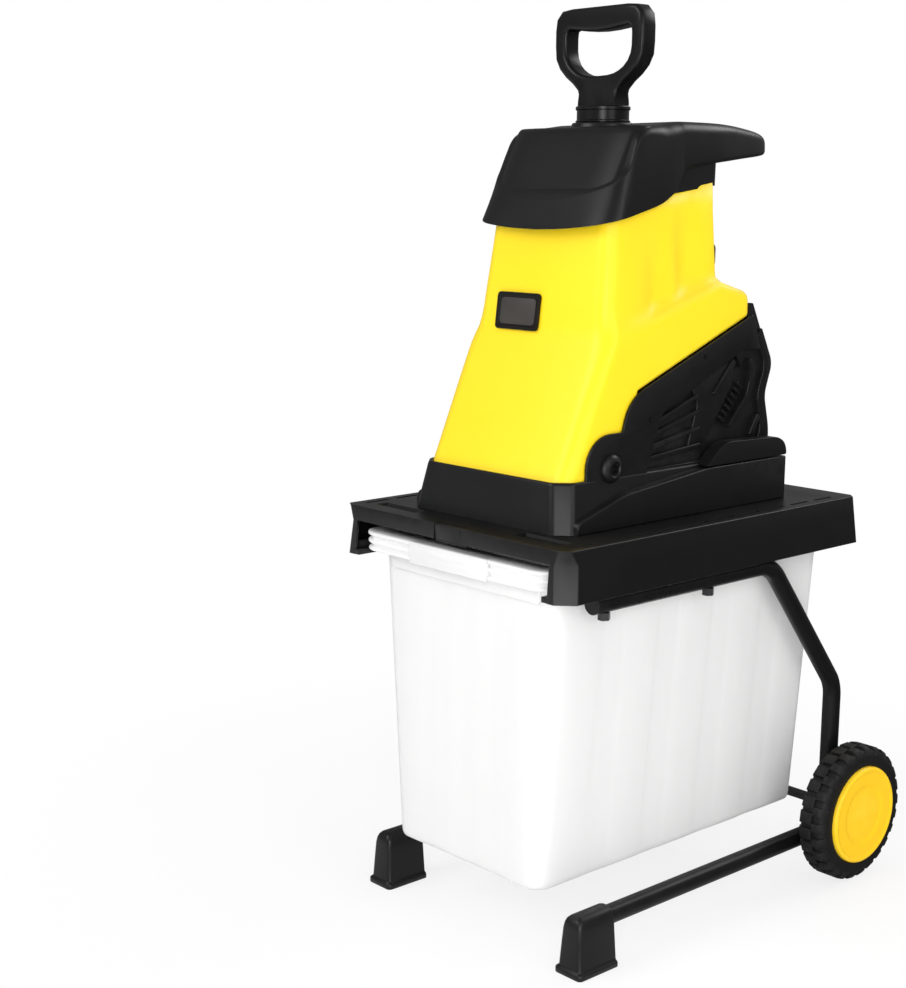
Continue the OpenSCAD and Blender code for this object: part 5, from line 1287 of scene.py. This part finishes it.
# Each row is the height and the share of the full radius there.
LOBED = [(6, 0.93), (6.4, 0.98), (7.2, 1), (15.8, 1), (17, 0.97), (17.7, 0.92), (18, 0.84), (18, 0.5),
    (17.7, 0.46), (17, 0.44)]
COLLET = [(0.01, 0.3), (8, 0.3), (8, 6.5), (0.01, 6.5)]
SHANK = [(0.01, -6.5), (6.1, -6.5), (6.5, -6.1), (6.5, -3.5), (4, -3.5), (4, 0.6), (0.01, 0.6)]


def lobed_ring(z, share):
    turns = [2 * pi * i / LOBE_POINTS for i in range(LOBE_POINTS)]
    reach = [share * (LOBE_MIDDLE + LOBE_SWELL * cos(LOBES * t)) for t in turns]
    return [Vector((r * cos(t), r * sin(t), z)) for r, t in zip(reach, turns)]

knob = bmesh.new()
spun_upright(knob, COLLET, 0, 36)
spun_upright(knob, SHANK, 0, 36)
skin_over(knob, [lobed_ring(*row) for row in LOBED])
bmesh.ops.rotate(knob, verts=knob.verts, cent=(0, 0, 0), matrix=Matrix.Rotation(-radians(KNOB_TILT), 3, "X"))
bmesh.ops.translate(knob, verts=knob.verts, vec=KNOB_PLACE)
join_piece(knob, "knob_grip", black_plastic, "locking_knob", ["locking_knob"], crisp=50)

# %% [markdown]
# The world is a pale even light that fills the shadows. The camera sees it as white, and so does
# what shines through the box. Reflections see it dimmer, so that black plastic stays black.

# %% World
world = bpy.data.worlds.new("studio")
scene.world = world
world.use_nodes = True
tree = world.node_tree
seen = place(tree, "ShaderNodeLightPath").outputs
straight = place(tree, "ShaderNodeMath", {"operation": "MAXIMUM"}, i0=seen["Is Camera Ray"],
    i1=seen["Is Transmission Ray"]).outputs[0]
level = spread(tree, straight, 0.0, 1.0, 0.56, 1.0)
dimmer = spread(tree, seen["Is Glossy Ray"], 0.0, 1.0, 1.0, 0.45)
feed(tree, tree.nodes["Background"], Color=(1, 1, 1, 1), Strength=times(tree, level, dimmer))
print("world ready")

# %% [markdown]
# The floor is a pale sheet. To the camera it glows towards white with the distance, and keeps the
# shadow near the machine. In reflections it is bright in front and dim behind, like a lit sweep in a
# studio. A white wall behind the machine would do as well, but its lower edge would show.

# %% Floor
floor_sheet, tree, shader, place_of = new_finish("floor_sheet")
feed(tree, shader, Base_Color=(0.9, 0.9, 0.9, 1), Roughness=0.9, Specular_IOR_Level=0.0)
seen = place(tree, "ShaderNodeLightPath").outputs
glow = place(tree, "ShaderNodeEmission", Strength=1.0)
reach = place(tree, "ShaderNodeVectorMath", {"operation": "LENGTH"}, i0=place_of)
fade = place(tree, "ShaderNodeMapRange", {"interpolation_type": "SMOOTHSTEP"}, Value=reach.outputs["Value"],
    i1=0.35, i2=1.1, i3=0.78, i4=1.0)
share = times(tree, seen["Is Camera Ray"], fade.outputs["Result"])
behind = place(tree, "ShaderNodeSeparateXYZ", Vector=place_of).outputs["Y"]
dull = place(tree, "ShaderNodeEmission", Strength=spread(tree, behind, -0.5, 0.3, 0.95, 0.1))
soft = place(tree, "ShaderNodeMixShader", i0=seen["Is Glossy Ray"], i1=shader.outputs[0], i2=dull.outputs[0])
mix = place(tree, "ShaderNodeMixShader", i0=share, i1=soft.outputs[0], i2=glow.outputs[0])
feed(tree, tree.nodes["Material Output"], Surface=mix.outputs[0])
sheet = bmesh.new()
bmesh.ops.create_grid(sheet, x_segments=1, y_segments=1, size=12)
mesh = bpy.data.meshes.new("floor")
sheet.to_mesh(mesh)
sheet.free()
mesh.materials.append(floor_sheet)
floor = bpy.data.objects.new("floor", mesh)
scene.collection.objects.link(floor)
print("floor ready")

# %% [markdown]
# Three large soft lamps stand round the machine as in a product studio: the strongest at the front
# left, one to the right and one behind. Two small cards close to the front right corner lift the low
# front and the faces that look at the camera. All of them aim at the middle of the machine.

# %% Lamps
AIM = Vector((0, 0, 0.5))


def lamp(name, where, size, power):
    """A rectangular lamp that aims at the machine; size in metres, power in watts."""
    light = bpy.data.lights.new(name, "AREA")
    light.shape = "RECTANGLE"
    light.size, light.size_y = size
    light.energy = power
    holder = bpy.data.objects.new(name, light)
    scene.collection.objects.link(holder)
    holder.location = where
    holder.rotation_euler = (AIM - holder.location).to_track_quat("-Z", "Y").to_euler()

lamp("key_lamp", (-0.9, -2.6, 2.3), (1.6, 1.6), 38)
lamp("side_lamp", (2.6, -0.4, 1.7), (1.2, 1.8), 18)
lamp("back_lamp", (0.6, 2.4, 2.4), (1.8, 1.0), 24)
lamp("floor_card", (1.0, -1.06, 0.28), (0.8, 0.5), 4)
lamp("front_card", (1.62, -1.82, 1.02), (0.8, 0.8), 17)
print("lamps:", len(bpy.data.lights))
